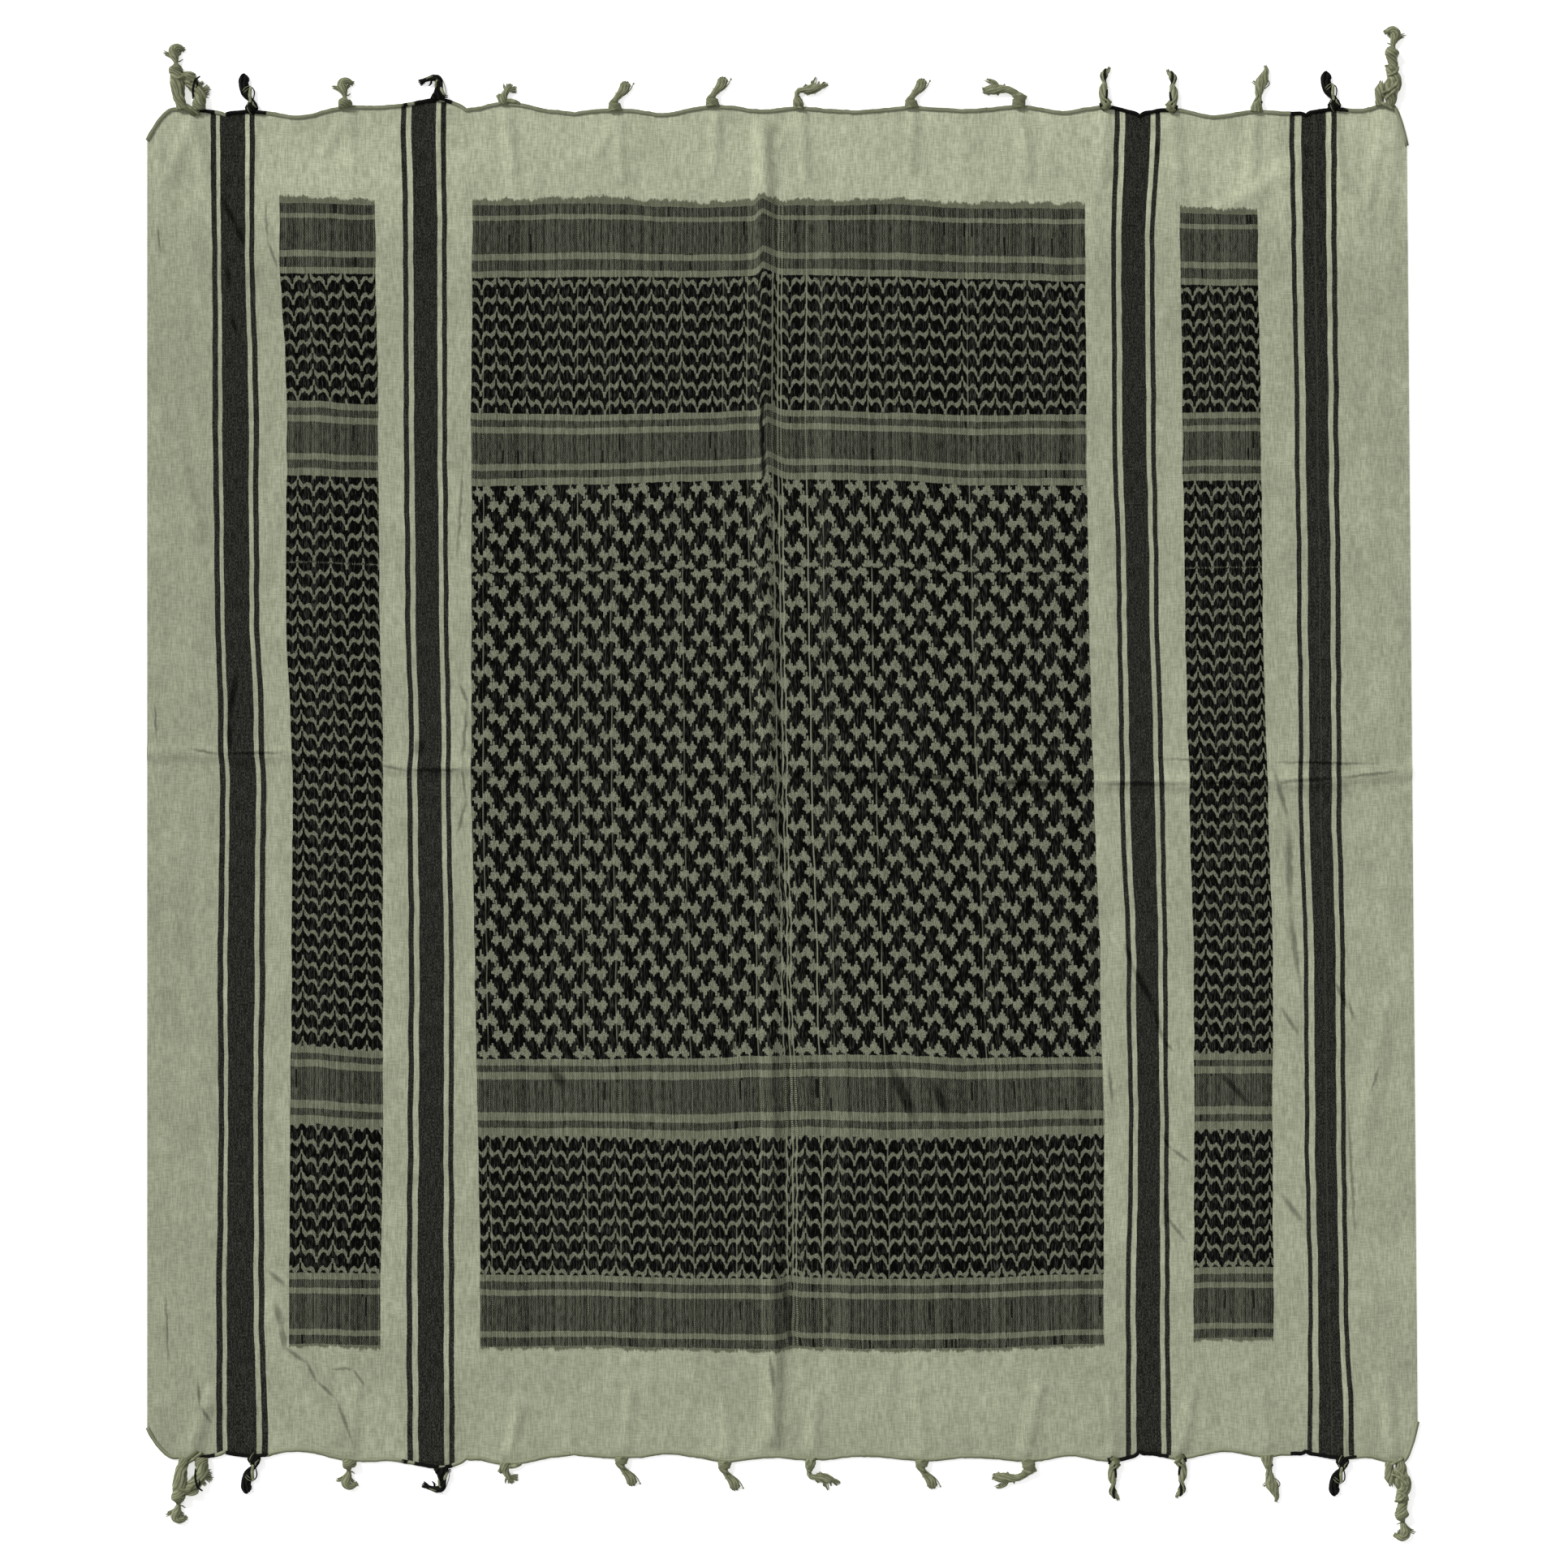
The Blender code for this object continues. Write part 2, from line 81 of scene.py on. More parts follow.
# Nicks in the rolled edge where it folds over itself: across, depth, half width
NICKS = (
    (-458.0, 1.6, 7.0),
    (-259.5, 2.0, 6.0),
    (-171.0, 1.0, 8.0),
    (293.3, 2.8, 5.0),
    (430.0, 2.4, 5.0),
)

# Pressed folds: from across, from along, to across, to along, height, half width
FOLDS = (
    (-16.0, 540.0, -8.0, -540.0, 3.6, 11.0),
    (-522.0, 24.0, -330.0, 22.0, 1.6, 8.0),
    (-330.0, 14.0, -14.0, 12.0, 2.0, 9.0),
    (-12.0, 13.0, 160.0, 2.0, 2.0, 9.0),
    (160.0, 0.0, 458.0, 1.0, 2.0, 8.0),
    (458.0, 2.0, 522.0, 12.0, 1.6, 8.0),
    (-420.0, -440.0, -366.0, -532.0, 2.2, 18.0),
    (215.0, -450.0, 262.0, -530.0, 1.8, 18.0),
    (500.0, 545.0, 497.0, 470.0, 1.7, 12.0),
    (-478.0, 480.0, -440.0, 425.0, 1.6, 18.0),
)

# Soft creases drawn one by one: from, to, height, half width
CREASES = (
    (-486.0, 545.0, -470.0, 492.0, 1.5, 9.0),
    (-486.0, 545.0, -502.0, 500.0, 1.2, 8.0),
    (-435.0, 545.0, -438.0, 498.0, 1.1, 8.0),
    (-435.0, 545.0, -418.0, 512.0, 0.9, 7.0),
    (-358.0, 548.0, -352.0, 505.0, 1.2, 8.0),
    (-358.0, 548.0, -376.0, 518.0, 0.9, 7.0),
    (-282.0, 555.0, -286.0, 496.0, 1.4, 9.0),
    (-228.0, 552.0, -221.0, 505.0, 1.2, 8.0),
    (-134.0, 546.0, -131.0, 498.0, 1.2, 8.0),
    (-134.0, 546.0, -152.0, 520.0, 0.8, 7.0),
    (-54.0, 550.0, -58.0, 500.0, 1.2, 8.0),
    (14.0, 548.0, 19.0, 498.0, 1.2, 8.0),
    (14.0, 548.0, -4.0, 520.0, 0.8, 7.0),
    (108.0, 548.0, 104.0, 502.0, 1.2, 8.0),
    (194.0, 549.0, 200.0, 500.0, 1.3, 8.0),
    (264.0, 549.0, 262.0, 496.0, 1.4, 9.0),
    (320.0, 547.0, 326.0, 498.0, 1.3, 8.0),
    (320.0, 547.0, 306.0, 520.0, 0.9, 7.0),
    (388.0, 545.0, 384.0, 500.0, 1.2, 8.0),
    (453.0, 547.0, 460.0, 492.0, 1.3, 8.0),
    (494.0, 550.0, 484.0, 480.0, 1.6, 9.0),
    (-484.0, -545.0, -466.0, -500.0, 1.4, 9.0),
    (-433.0, -545.0, -436.0, -505.0, 1.1, 8.0),
    (-355.0, -548.0, -349.0, -500.0, 1.2, 8.0),
    (-279.0, -555.0, -282.0, -500.0, 1.4, 9.0),
    (-226.0, -552.0, -216.0, -508.0, 1.1, 8.0),
    (-129.0, -546.0, -125.0, -500.0, 1.2, 8.0),
    (-44.0, -550.0, -50.0, -505.0, 1.1, 8.0),
    (24.0, -548.0, 30.0, -500.0, 1.2, 8.0),
    (117.0, -548.0, 112.0, -500.0, 1.2, 8.0),
    (202.0, -549.0, 210.0, -498.0, 1.3, 8.0),
    (272.0, -549.0, 268.0, -500.0, 1.3, 9.0),
    (327.0, -547.0, 336.0, -500.0, 1.3, 8.0),
    (397.0, -545.0, 392.0, -505.0, 1.2, 8.0),
    (460.0, -547.0, 466.0, -495.0, 1.3, 8.0),
    (502.0, -550.0, 494.0, -490.0, 1.5, 9.0),
    (-510.0, 300.0, -480.0, 210.0, 1.2, 14.0),
    (-500.0, -120.0, -470.0, -230.0, 1.1, 14.0),
    (480.0, 250.0, 505.0, 120.0, 1.1, 14.0),
    (495.0, -180.0, 475.0, -300.0, 1.2, 14.0),
    (-448.0, 466.0, -408.0, 452.0, 1.2, 12.0),
    (-300.0, 452.0, -276.0, 448.0, 1.0, 10.0),
    (-14.0, 300.0, 10.0, 120.0, 1.0, 12.0),
    (12.0, -90.0, -6.0, -280.0, 1.0, 12.0),
    (360.0, 470.0, 420.0, 505.0, 1.3, 14.0),
    (-120.0, -470.0, -60.0, -500.0, 1.0, 14.0),
)

CLOTH_WALL = 1.1
RELIEF = 1.5
GRID_STEP = 3.1
PATCHES = 3

# How far in from the hem and the selvedge the cloth is pulled flat
HEM_FADE = 18.0
CREASE_FADE = 7.0
SIDE_FADE = 16.0
SIDE_START = 4.0
# How far the folds stray from their lines, and how high flat cloth lies off the floor
FOLD_SWAY = 3.0
LIES_OFF = 0.22

# Places here are pixels of the photograph, counted right and down, 1.5 to a millimetre.
PIXELS_PER_MM = 1.5
PIXEL_ACROSS = 964.0
PIXEL_ALONG = 965.5
# Warp lines: place across on the loom, and across in the laid cloth at ten places along
ALONG_MARKS = (150.0, 300.0, 500.0, 750.0, 900.0, 965.0, 1200.0, 1400.0, 1600.0, 1780.0)
WARP_LINES = (
    (183.0, (182.0, 182.0, 182.0, 182.5, 183.0, 183.0, 183.0, 183.0, 183.5, 184.0)),
    (271.3, (259.0, 262.0, 262.0, 265.0, 269.0, 271.0, 268.0, 269.5, 266.5, 266.5)),
    (328.1, (314.5, 313.5, 319.0, 319.5, 325.5, 328.0, 326.5, 324.5, 326.0, 330.5)),
    (361.0, (342.0, 344.5, 353.5, 352.5, 358.0, 361.0, 359.5, 357.5, 356.5, 357.0)),
    (472.5, (461.0, 463.0, 466.0, 468.0, 471.5, 472.0, 471.5, 472.5, 468.5, 467.0)),
    (501.8, (494.0, 497.0, 497.5, 499.5, 504.0, 502.0, 504.0, 502.5, 501.0, 502.0)),
    (556.4, (549.5, 550.5, 551.0, 552.5, 555.5, 555.5, 559.5, 559.0, 559.5, 560.0)),
    (581.5, (584.0, 582.5, 581.0, 581.5, 581.0, 580.5, 585.5, 589.5, 592.0, 596.0)),
    (778.7, (775.0, 774.5, 774.0, 775.5, 776.5, 777.0, 782.0, 787.0, 788.5, 790.0)),
    (974.3, (966.0, 964.5, 963.0, 966.5, 969.0, 970.0, 976.0, 982.0, 983.0, 984.0)),
    (1170.0, (1153.0, 1154.0, 1155.0, 1161.0, 1165.0, 1167.0, 1175.0, 1183.0, 1185.5, 1188.0)),
    (1347.0, (1336.0, 1337.0, 1338.5, 1341.5, 1345.0, 1348.0, 1355.5, 1360.5, 1360.0, 1363.0)),
    (1379.9, (1373.0, 1369.0, 1370.0, 1376.0, 1378.0, 1379.5, 1388.0, 1391.0, 1387.0, 1387.0)),
    (1434.2, (1430.0, 1422.5, 1424.0, 1427.5, 1432.5, 1434.5, 1438.5, 1439.5, 1441.0, 1443.0)),
    (1465.0, (1452.0, 1454.0, 1456.5, 1460.0, 1463.0, 1465.5, 1470.5, 1471.5, 1470.5, 1472.0)),
    (1562.0, (1547.0, 1549.5, 1553.0, 1555.5, 1559.0, 1562.0, 1568.5, 1567.5, 1569.0, 1569.0)),
    (1599.4, (1588.5, 1591.0, 1595.0, 1598.0, 1600.0, 1599.5, 1606.5, 1607.5, 1612.0, 1611.0)),
    (1652.8, (1646.5, 1647.0, 1649.0, 1651.5, 1652.5, 1652.5, 1657.0, 1658.0, 1661.0, 1668.5)),
    (1741.0, (1733.0, 1735.0, 1737.0, 1739.0, 1740.0, 1741.0, 1743.0, 1744.0, 1746.0, 1747.0)),
)
# Weft lines: place along on the loom, and along in the laid cloth at eleven places across
ACROSS_MARKS = (380.0, 450.0, 600.0, 720.0, 860.0, 935.0, 1000.0, 1100.0, 1200.0, 1330.0, 1510.0)
WEFT_LINES = (
    (253.0, (250.0, 252.5, 253.0, 250.5, 255.5, 254.0, 253.0, 252.0, 256.5, 257.0, 264.0)),
    (342.0, (337.0, 337.5, 342.5, 341.0, 342.0, 340.0, 339.0, 341.0, 344.0, 347.0, 352.0)),
    (509.0, (494.0, 498.5, 509.0, 511.5, 509.0, 506.0, 505.5, 509.0, 512.0, 511.0, 508.0)),
    (599.0, (586.0, 588.5, 599.0, 597.0, 593.0, 591.0, 591.0, 592.0, 598.0, 598.0, 592.0)),
    (1305.0, (1289.0, 1295.0, 1305.0, 1305.0, 1304.0, 1301.0, 1300.0, 1300.0, 1304.0, 1302.0, 1298.0)),
    (1400.0, (1384.0, 1389.0, 1399.0, 1400.0, 1403.5, 1400.0, 1399.0, 1402.0, 1401.0, 1397.0, 1391.0)),
    (1572.0, (1568.0, 1568.5, 1570.5, 1571.0, 1575.0, 1575.5, 1574.0, 1576.0, 1574.0, 1570.0, 1561.0)),
    (1658.0, (1655.0, 1658.0, 1659.0, 1658.0, 1661.0, 1662.0, 1660.0, 1662.0, 1661.0, 1656.0, 1648.0)),
)
# The fold down the middle, in the same pixels: it lifts the weft lines into a peak, which
# fades from one row down and comes back a little from another
FOLD_AT_TOP = 937.0
FOLD_LEAN = 0.025
FOLD_STARTS = 250.0
FOLD_RISE = 9.0
FOLD_STEEP = 4.0
FOLD_GENTLE = 15.0
FOLD_FADES = 600.0
FOLD_RETURNS = 1520.0


def mixed(first, last, share):
    """The value some share of the way from the first to the last."""
    return first + (last - first) * share


def soft_step(share):
    """0 up to 0, 1 from 1 on, and smooth between them."""
    share = min(max(share, 0.0), 1.0)
    return share * share * (3.0 - 2.0 * share)


def knot_across(knot, side):
    """Where a knot sits on the top hem (side 1) or on the bottom hem (side -1)."""
    return knot[2] if side > 0 else knot[3]


def edges(side):
    """The selvedges' places across: the left one is straight up, the right one leans in."""
    left = -WIDTH_AT_BOTTOM / 2
    return left, left + (WIDTH_AT_TOP if side > 0 else WIDTH_AT_BOTTOM)


def hem_reach(across, side):
    """The hem's distance from the middle: it sags between knots and turns at the corners."""
    left, right = edges(side)
    first, last = KNOTS[0], KNOTS[-1]
    reach = first[4] if across < knot_across(first, side) else last[4]
    for knot, after in zip(KNOTS, KNOTS[1:]):
        start, end = knot_across(knot, side), knot_across(after, side)
        if start <= across <= end:
            share = (across - start) / (end - start)
            reach = mixed(knot[4], after[4], share) - knot[5] * math.sin(math.pi * share) ** 2
    for corner, distance in ((CORNER_LEFT, across - left), (CORNER_RIGHT, right - across)):
        share = max(0.0, 1.0 - distance / corner["reach"])
        reach -= corner["drop"] * share ** corner["power"]
    for nick, depth, half in NICKS:
        share = max(0.0, 1.0 - abs(across - nick) / half)
        reach -= depth * share * share
    waver = noise.noise(Vector((across * 0.045, side * 3.0, 0.0)))
    return reach + 0.9 * waver + 0.35 * noise.noise(Vector((across * 0.16, side * 7.0, 0.0)))


def cloth_edge(side, x):
    """The middle of the rolled hem at one place across, where the cloth ends."""
    left, right = edges(side)
    x = min(max(x, left), right)
    return Vector((x, side * (hem_reach(x, side) - HEM_RADIUS)))


def ridge(place, lines, power):
    """The height that a list of pressed lines gives the cloth at one place."""
    height = 0.0
    for x_from, y_from, x_to, y_to, rise, half in lines:
        run_x, run_y = x_to - x_from, y_to - y_from
        off_x, off_y = place.x - x_from, place.y - y_from
        share = (off_x * run_x + off_y * run_y) / (run_x * run_x + run_y * run_y)
        share = min(max(share, 0.0), 1.0)
        off_x -= run_x * share
        off_y -= run_y * share
        distance = math.hypot(off_x, off_y) / half
        if distance < 1.0:
            height = max(height, rise * soft_step(1.0 - distance) ** power)
    return height


def cloth_height(place, hem_distance, side_distance):
    """How high the cloth's underside stands off the floor."""
    near_hem = soft_step(hem_distance / HEM_FADE)
    near_side = soft_step((side_distance + SIDE_START) / SIDE_FADE)
    wander = Vector((place.x, place.y, 0.0))
    slow = wander * 0.018
    sway = (noise.noise(slow), noise.noise(slow + Vector((9.0, 4.0, 0.0))))
    bent = place + Vector((FOLD_SWAY * sway[0], FOLD_SWAY * sway[1]))
    height = RELIEF * ridge(bent, FOLDS, 0.75) * near_hem
    height = max(height, RELIEF * ridge(bent, CREASES, 1.0) * soft_step(hem_distance / CREASE_FADE))
    ripple = noise.noise(wander * 0.03) * 0.5 + noise.noise(wander * 0.08) * 0.25
    along = noise.noise(Vector((place.x * 0.11, place.y * 0.02, 3.0))) * 0.22
    return max(0.0, height + max(0.0, LIES_OFF + ripple + along) * near_hem * near_side)


def interval(values, value):
    """Which step of a rising row of values a value falls in, and how far along it."""
    for number in range(len(values) - 1):
        if value < values[number + 1] or number == len(values) - 2:
            share = (value - values[number]) / (values[number + 1] - values[number])
            return number, share


def loom_place(x, y):
    """Where a place on the laid cloth sat on the loom, in millimetres from the middle."""
    column = x * PIXELS_PER_MM + PIXEL_ACROSS
    row = PIXEL_ALONG - y * PIXELS_PER_MM
    mark, share = interval(ALONG_MARKS, row)
    share = soft_step(share)
    lines = [mixed(places[mark], places[mark + 1], share) for _, places in WARP_LINES]
    step, part = interval(lines, column)
    across = mixed(WARP_LINES[step][0], WARP_LINES[step + 1][0], part)
    mark, share = interval(ACROSS_MARKS, column)
    share = soft_step(share)
    off_fold = column - FOLD_AT_TOP - FOLD_LEAN * (row - FOLD_STARTS)
    half = FOLD_STEEP if off_fold < 0.0 else FOLD_GENTLE
    fades = 1.0 - soft_step((row - FOLD_FADES) / 350.0) + 0.4 * soft_step((row - FOLD_RETURNS) / 60.0)
    peak = FOLD_RISE * math.exp(-((off_fold / half) ** 2)) * fades
    lines = [mixed(places[mark], places[mark + 1], share) - peak for _, places in WEFT_LINES]
    step, part = interval(lines, row)
    along = mixed(WEFT_LINES[step][0], WEFT_LINES[step + 1][0], part)
    return (across - PIXEL_ACROSS) / PIXELS_PER_MM, (PIXEL_ALONG - along) / PIXELS_PER_MM


def finish_mesh(name, shape, materials):
    """Turns a bmesh in millimetres into a piece of the scarf, in metres."""
    bmesh.ops.scale(shape, vec=(MM, MM, MM), verts=shape.verts)
    mesh = bpy.data.meshes.new(name)
    shape.to_mesh(mesh)
    shape.free()
    for made in materials:
        mesh.materials.append(made)
    piece = bpy.data.objects.new(name, mesh)
    bpy.context.collection.objects.link(piece)
    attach(piece, "root")
    return piece


def cloth_point(across_share, along_share):
    """A point of the cloth's underside, from its share of the width and of the length."""
    points = []
    for side in (-1, 1):
        left, right = edges(side)
        points.append(cloth_edge(side, mixed(left, right, across_share)))
    place = points[0].lerp(points[1], along_share)
    length = (points[1] - points[0]).length
    hem_distance = min(along_share, 1.0 - along_share) * length
    side_distance = min(across_share, 1.0 - across_share) * WIDTH_AT_TOP
    return place, cloth_height(place, hem_distance, side_distance)


def cloth_grid():
    """Every point of the cloth with its place on the loom, row by row."""
    columns = PATCHES * round(WIDTH_AT_BOTTOM / GRID_STEP / PATCHES)
    rows = PATCHES * round(LENGTH / GRID_STEP / PATCHES)
    grid = []
    for row in range(rows + 1):
        line = []
        for column in range(columns + 1):
            place, height = cloth_point(column / columns, row / rows)
            line.append((place.x, place.y, height, loom_place(place.x, place.y)))
        grid.append(line)
    return grid


def cloth_patch(name, lines, material):
    """One patch of the cloth: a thin closed shell that meets the next one edge to edge."""
    shape = bmesh.new()
    loom = shape.loops.layers.uv.new("loom")
    over, under, places = [], [], {}
    for line in lines:
        high, low = [], []
        for x, y, height, place in line:
            for face_of_cloth, lift in ((high, CLOTH_WALL), (low, 0.0)):
                vertex = shape.verts.new((x, y, height + lift))
                places[vertex] = place
                face_of_cloth.append(vertex)
        over.append(high)
        under.append(low)
    for lower, upper in zip(over, over[1:]):
        for number in range(len(lower) - 1):
            shape.faces.new((lower[number], lower[number + 1], upper[number + 1], upper[number]))
    for lower, upper in zip(under, under[1:]):
        for number in range(len(lower) - 1):
            shape.faces.new((upper[number], upper[number + 1], lower[number + 1], lower[number]))
    rows, columns = len(over), len(over[0])
    rim = [(0, number) for number in range(columns)]
    rim += [(row, columns - 1) for row in range(1, rows)]
    rim += [(rows - 1, columns - 1 - number) for number in range(1, columns)]
    rim += [(rows - 1 - row, 0) for row in range(1, rows - 1)]
    for (row, column), (next_row, next_column) in zip(rim, rim[1:] + rim[:1]):
        wall = shape.faces.new(
            (
                under[row][column],
                under[next_row][next_column],
                over[next_row][next_column],
                over[row][column],
            )
        )
        for edge in wall.edges:
            edge.smooth = False
    for face in shape.faces:
        face.smooth = True
        for loop in face.loops:
            across, along = places[loop.vert]
            loop[loom].uv = (across * MM, along * MM)
    return finish_mesh(name, shape, [material])


class Recipe:
    """A material's nodes, added one after another.

    Numbers and colours that don't change are set on the socket they feed.
    """

    def __init__(self, name):
        self.material = bpy.data.materials.new(name)
        self.material.use_nodes = True
        self.tree = self.material.node_tree
        self.shader = self.tree.nodes["Principled BSDF"]

    def feed(self, socket, value):
        """Links a socket to another, or sets it to a number or a colour."""
        if isinstance(value, bpy.types.NodeSocket):
            self.tree.links.new(value, socket)
        elif value is not None:
            socket.default_value = value

    def math(self, operation, first, second=None, third=None):
        node = self.tree.nodes.new("ShaderNodeMath")
        node.operation = operation
        for socket, value in zip(node.inputs, (first, second, third)):
            self.feed(socket, value)
        return node.outputs[0]

    def add(self, first, second):
        return self.math("ADD", first, second)

    def take(self, first, second):
        return self.math("SUBTRACT", first, second)

    def times(self, first, second):
        return self.math("MULTIPLY", first, second)

    def larger(self, first, second):
        return self.math("MAXIMUM", first, second)

    def spread(self, value, low, high, to_low=0.0, to_high=1.0):
        """Turns the range low..high into another one, smoothly and with its ends kept."""
        node = self.tree.nodes.new("ShaderNodeMapRange")
        node.interpolation_type = "SMOOTHSTEP"
        for name, number in (
            ("Value", value),
            ("From Min", low),
            ("From Max", high),
            ("To Min", to_low),
            ("To Max", to_high),
        ):
            self.feed(node.inputs[name], number)
        return node.outputs["Result"]

    def within(self, value, stretches, soft=0.35):
        """1 inside any of the stretches, 0 outside them."""
        found = None
        for start, end in stretches:
            off = self.math("ABSOLUTE", self.take(value, (start + end) / 2))
            half = (end - start) / 2
            inside = self.spread(off, half + soft, half - soft)
            found = inside if found is None else self.larger(found, inside)
        return 0.0 if found is None else found

    def shadow_ovals(self, where, lines):
        """Long soft ovals, each from one end to the other and so many pixels half wide."""
        found = None
        for x_from, y_from, x_to, y_to, half in lines:
            oval = self.tree.nodes.new("ShaderNodeMapping")
            oval.vector_type = "TEXTURE"
            run_x, run_y = x_to - x_from, y_to - y_from
            oval.inputs["Location"].default_value = ((x_from + x_to) / 2, (y_from + y_to) / 2, 0.0)
            oval.inputs["Rotation"].default_value = (0.0, 0.0, math.atan2(run_y, run_x))
            size = (math.hypot(run_x, run_y) * CREASE_LONGER, half * CREASE_WIDER, 1.0)
            oval.inputs["Scale"].default_value = size
            self.feed(oval.inputs["Vector"], where)
            fade = self.tree.nodes.new("ShaderNodeTexGradient")
            fade.gradient_type = "SPHERICAL"
            self.feed(fade.inputs["Vector"], oval.outputs[0])
            crease = fade.outputs["Fac"]
            found = crease if found is None else self.larger(found, crease)
        return 0.0 if found is None else found

    def place(self, across, along, third=0.0):
        node = self.tree.nodes.new("ShaderNodeCombineXYZ")
        for socket, value in zip(node.inputs, (across, along, third)):
            self.feed(socket, value)
        return node.outputs[0]

    def split(self, vector):
        node = self.tree.nodes.new("ShaderNodeSeparateXYZ")
        self.feed(node.inputs[0], vector)
        return node.outputs

    def grain(self, where, detail):
        """Soft noise from 0 to 1 around a half."""
        node = self.tree.nodes.new("ShaderNodeTexNoise")
        self.feed(node.inputs["Vector"], where)
        node.inputs["Scale"].default_value = 1.0
        node.inputs["Detail"].default_value = detail
        return node.outputs["Fac"]

    def speck(self, where):
        """One random number for each whole step."""
        node = self.tree.nodes.new("ShaderNodeTexWhiteNoise")
        node.noise_dimensions = "3D"
        self.feed(node.inputs["Vector"], where)
        return node.outputs["Value"]

    def ramp(self, value, stops, interpolation="CONSTANT"):
        """A colour for each stop on the way from 0 to 1."""
        node = self.tree.nodes.new("ShaderNodeValToRGB")
        node.color_ramp.interpolation = interpolation
        elements = node.color_ramp.elements
        elements.remove(elements[1])
        elements[0].position = stops[0][0]
        elements[0].color = stops[0][1]
        for position, colour in stops[1:]:
            elements.new(position).color = colour
        self.feed(node.inputs["Fac"], value)
        return node.outputs["Color"]

    def channels(self, colour):
        node = self.tree.nodes.new("ShaderNodeSeparateColor")
        self.feed(node.inputs[0], colour)
        return node.outputs

    def mix(self, share, first, second, blend="MIX"):
        node = self.tree.nodes.new("ShaderNodeMix")
        node.data_type = "RGBA"
        node.blend_type = blend
        for number, value in ((0, share), (6, first), (7, second)):
            self.feed(node.inputs[number], value)
        return node.outputs[2]

    def dimmed(self, colour, share):
        """A colour times a number."""
        return self.mix(1.0, colour, self.place(share, share, share), "MULTIPLY")

    def bump(self, height, strength, distance):
        node = self.tree.nodes.new("ShaderNodeBump")
        node.inputs["Strength"].default_value = strength
        node.inputs["Distance"].default_value = distance
        self.feed(node.inputs["Height"], height)
        return node.outputs["Normal"]

    def sides(self, map_name):
        """Both sides of a UV map."""
        uv = self.tree.nodes.new("ShaderNodeUVMap")
        uv.uv_map = map_name
        return self.split(uv.outputs[0])[:2]

    def pixels(self, sides):
        """Across and along in pixels of the photograph, from metres right and up."""
        across = self.math("MULTIPLY_ADD", sides[0], PIXELS_PER_MM / MM, PIXEL_ACROSS)
        along = self.math("MULTIPLY_ADD", sides[1], -PIXELS_PER_MM / MM, PIXEL_ALONG)
        return across, along

    def matt(self, roughness):
        """The finished material, with hardly any shine."""
        self.shader.inputs["Roughness"].default_value = roughness
        self.shader.inputs["Specular IOR Level"].default_value = SHINE
        return self.material


# The cloth's colours, as the eye sees them under the even light of the photograph
PALE = (0.396, 0.414, 0.298, 1.0)
PALE_RIB = (0.262, 0.276, 0.190, 1.0)
MOTIF = (0.262, 0.277, 0.194, 1.0)
MOTIF_SHADE = (0.058, 0.062, 0.041, 1.0)
HOOK_DIMMED = 0.84
BAND_LIGHT = (0.240, 0.255, 0.176, 1.0)
BAND_LIGHT_SHADE = (0.082, 0.087, 0.057, 1.0)
BAND_DARK = (0.125, 0.130, 0.095, 1.0)
BAND_DARK_SHADE = (0.0085, 0.0090, 0.0065, 1.0)
FLOAT_BLACK = (0.0012, 0.0013, 0.0010, 1.0)
FLOAT_GREY = (0.050, 0.052, 0.042, 1.0)
STRIPE_BLACK = (0.0075, 0.0078, 0.0060, 1.0)
STRIPE_SPECK = (0.056, 0.058, 0.047, 1.0)
FRAY = (0.135, 0.142, 0.092, 1.0)
FRAY_SHADE = (0.060, 0.064, 0.040, 1.0)
HEM_OLIVE = (0.190, 0.200, 0.128, 1.0)
YARN_GREEN = (0.300, 0.315, 0.200, 1.0)
YARN_SHADE = (0.120, 0.127, 0.070, 1.0)
HEM_SHADE = (0.130, 0.138, 0.074, 1.0)
YARN_BLACK = (0.0060, 0.0060, 0.0056, 1.0)
BLACK_YARN_LIGHT = (0.016, 0.016, 0.014, 1.0)
BLACK_YARN_SHADE = (0.002, 0.002, 0.002, 1.0)
FLOOR_WHITE = (0.96, 0.96, 0.96, 1.0)
WHITE = (1.0, 1.0, 1.0, 1.0)
FLOOR_GLOW = 0.52
COTTON_ROUGHNESS = 0.93
FLOOR_ROUGHNESS = 0.9
SHINE = 0.04

# One repeat of the pattern across, in pixels, and the warp yarns in it
PATTERN_WIDTH = 39.13
YARNS = 18.0
# How far past its patch a material still knows the stripes and bands
SPARE = 45.0
# Hooks: the middle of one spike, then where the rows start and their pitch in three zones,
# with the two places between these zones
HOOK_LEFT = 592.8
HOOKS_ABOVE = (335.6, 20.9)
HOOKS_BESIDE = (598.3, 20.18)
HOOKS_BELOW = (1399.8, 20.9)
HOOK_ZONES = (555.0, 1350.0)
# A pick that was beaten up too hard, and how many pixels of pattern it swallows
HARD_BEAT = 706.0
BEATEN_AWAY = 12.5
# Teeth: the left and top of one repeat, the row pitch, and the other motif's shift
TOOTH_LEFT = 583.0
TOOTH_TOP = 633.0
TOOTH_ROW = 39.07
TOOTH_SHIFT = (18.4, 19.2)

# Stripes and panels across the loom, each from its left to its right edge
NARROW_STRIPES = (
    (271.3, 278.4),
    (321.3, 328.1),
    (501.8, 508.2),
    (550.4, 556.4),
    (1379.9, 1386.0),
    (1428.2, 1434.2),
    (1599.4, 1605.0),
    (1646.6, 1652.8),
)
WIDE_STRIPES = ((283.3, 315.7), (514.6, 544.6), (1392.4, 1422.4), (1612.6, 1640.6))
LEFT_PANEL = ((361.0, 472.5),)
RIGHT_PANEL = ((1465.0, 1562.0),)
CENTRE_PANEL = ((581.5, 1347.0),)
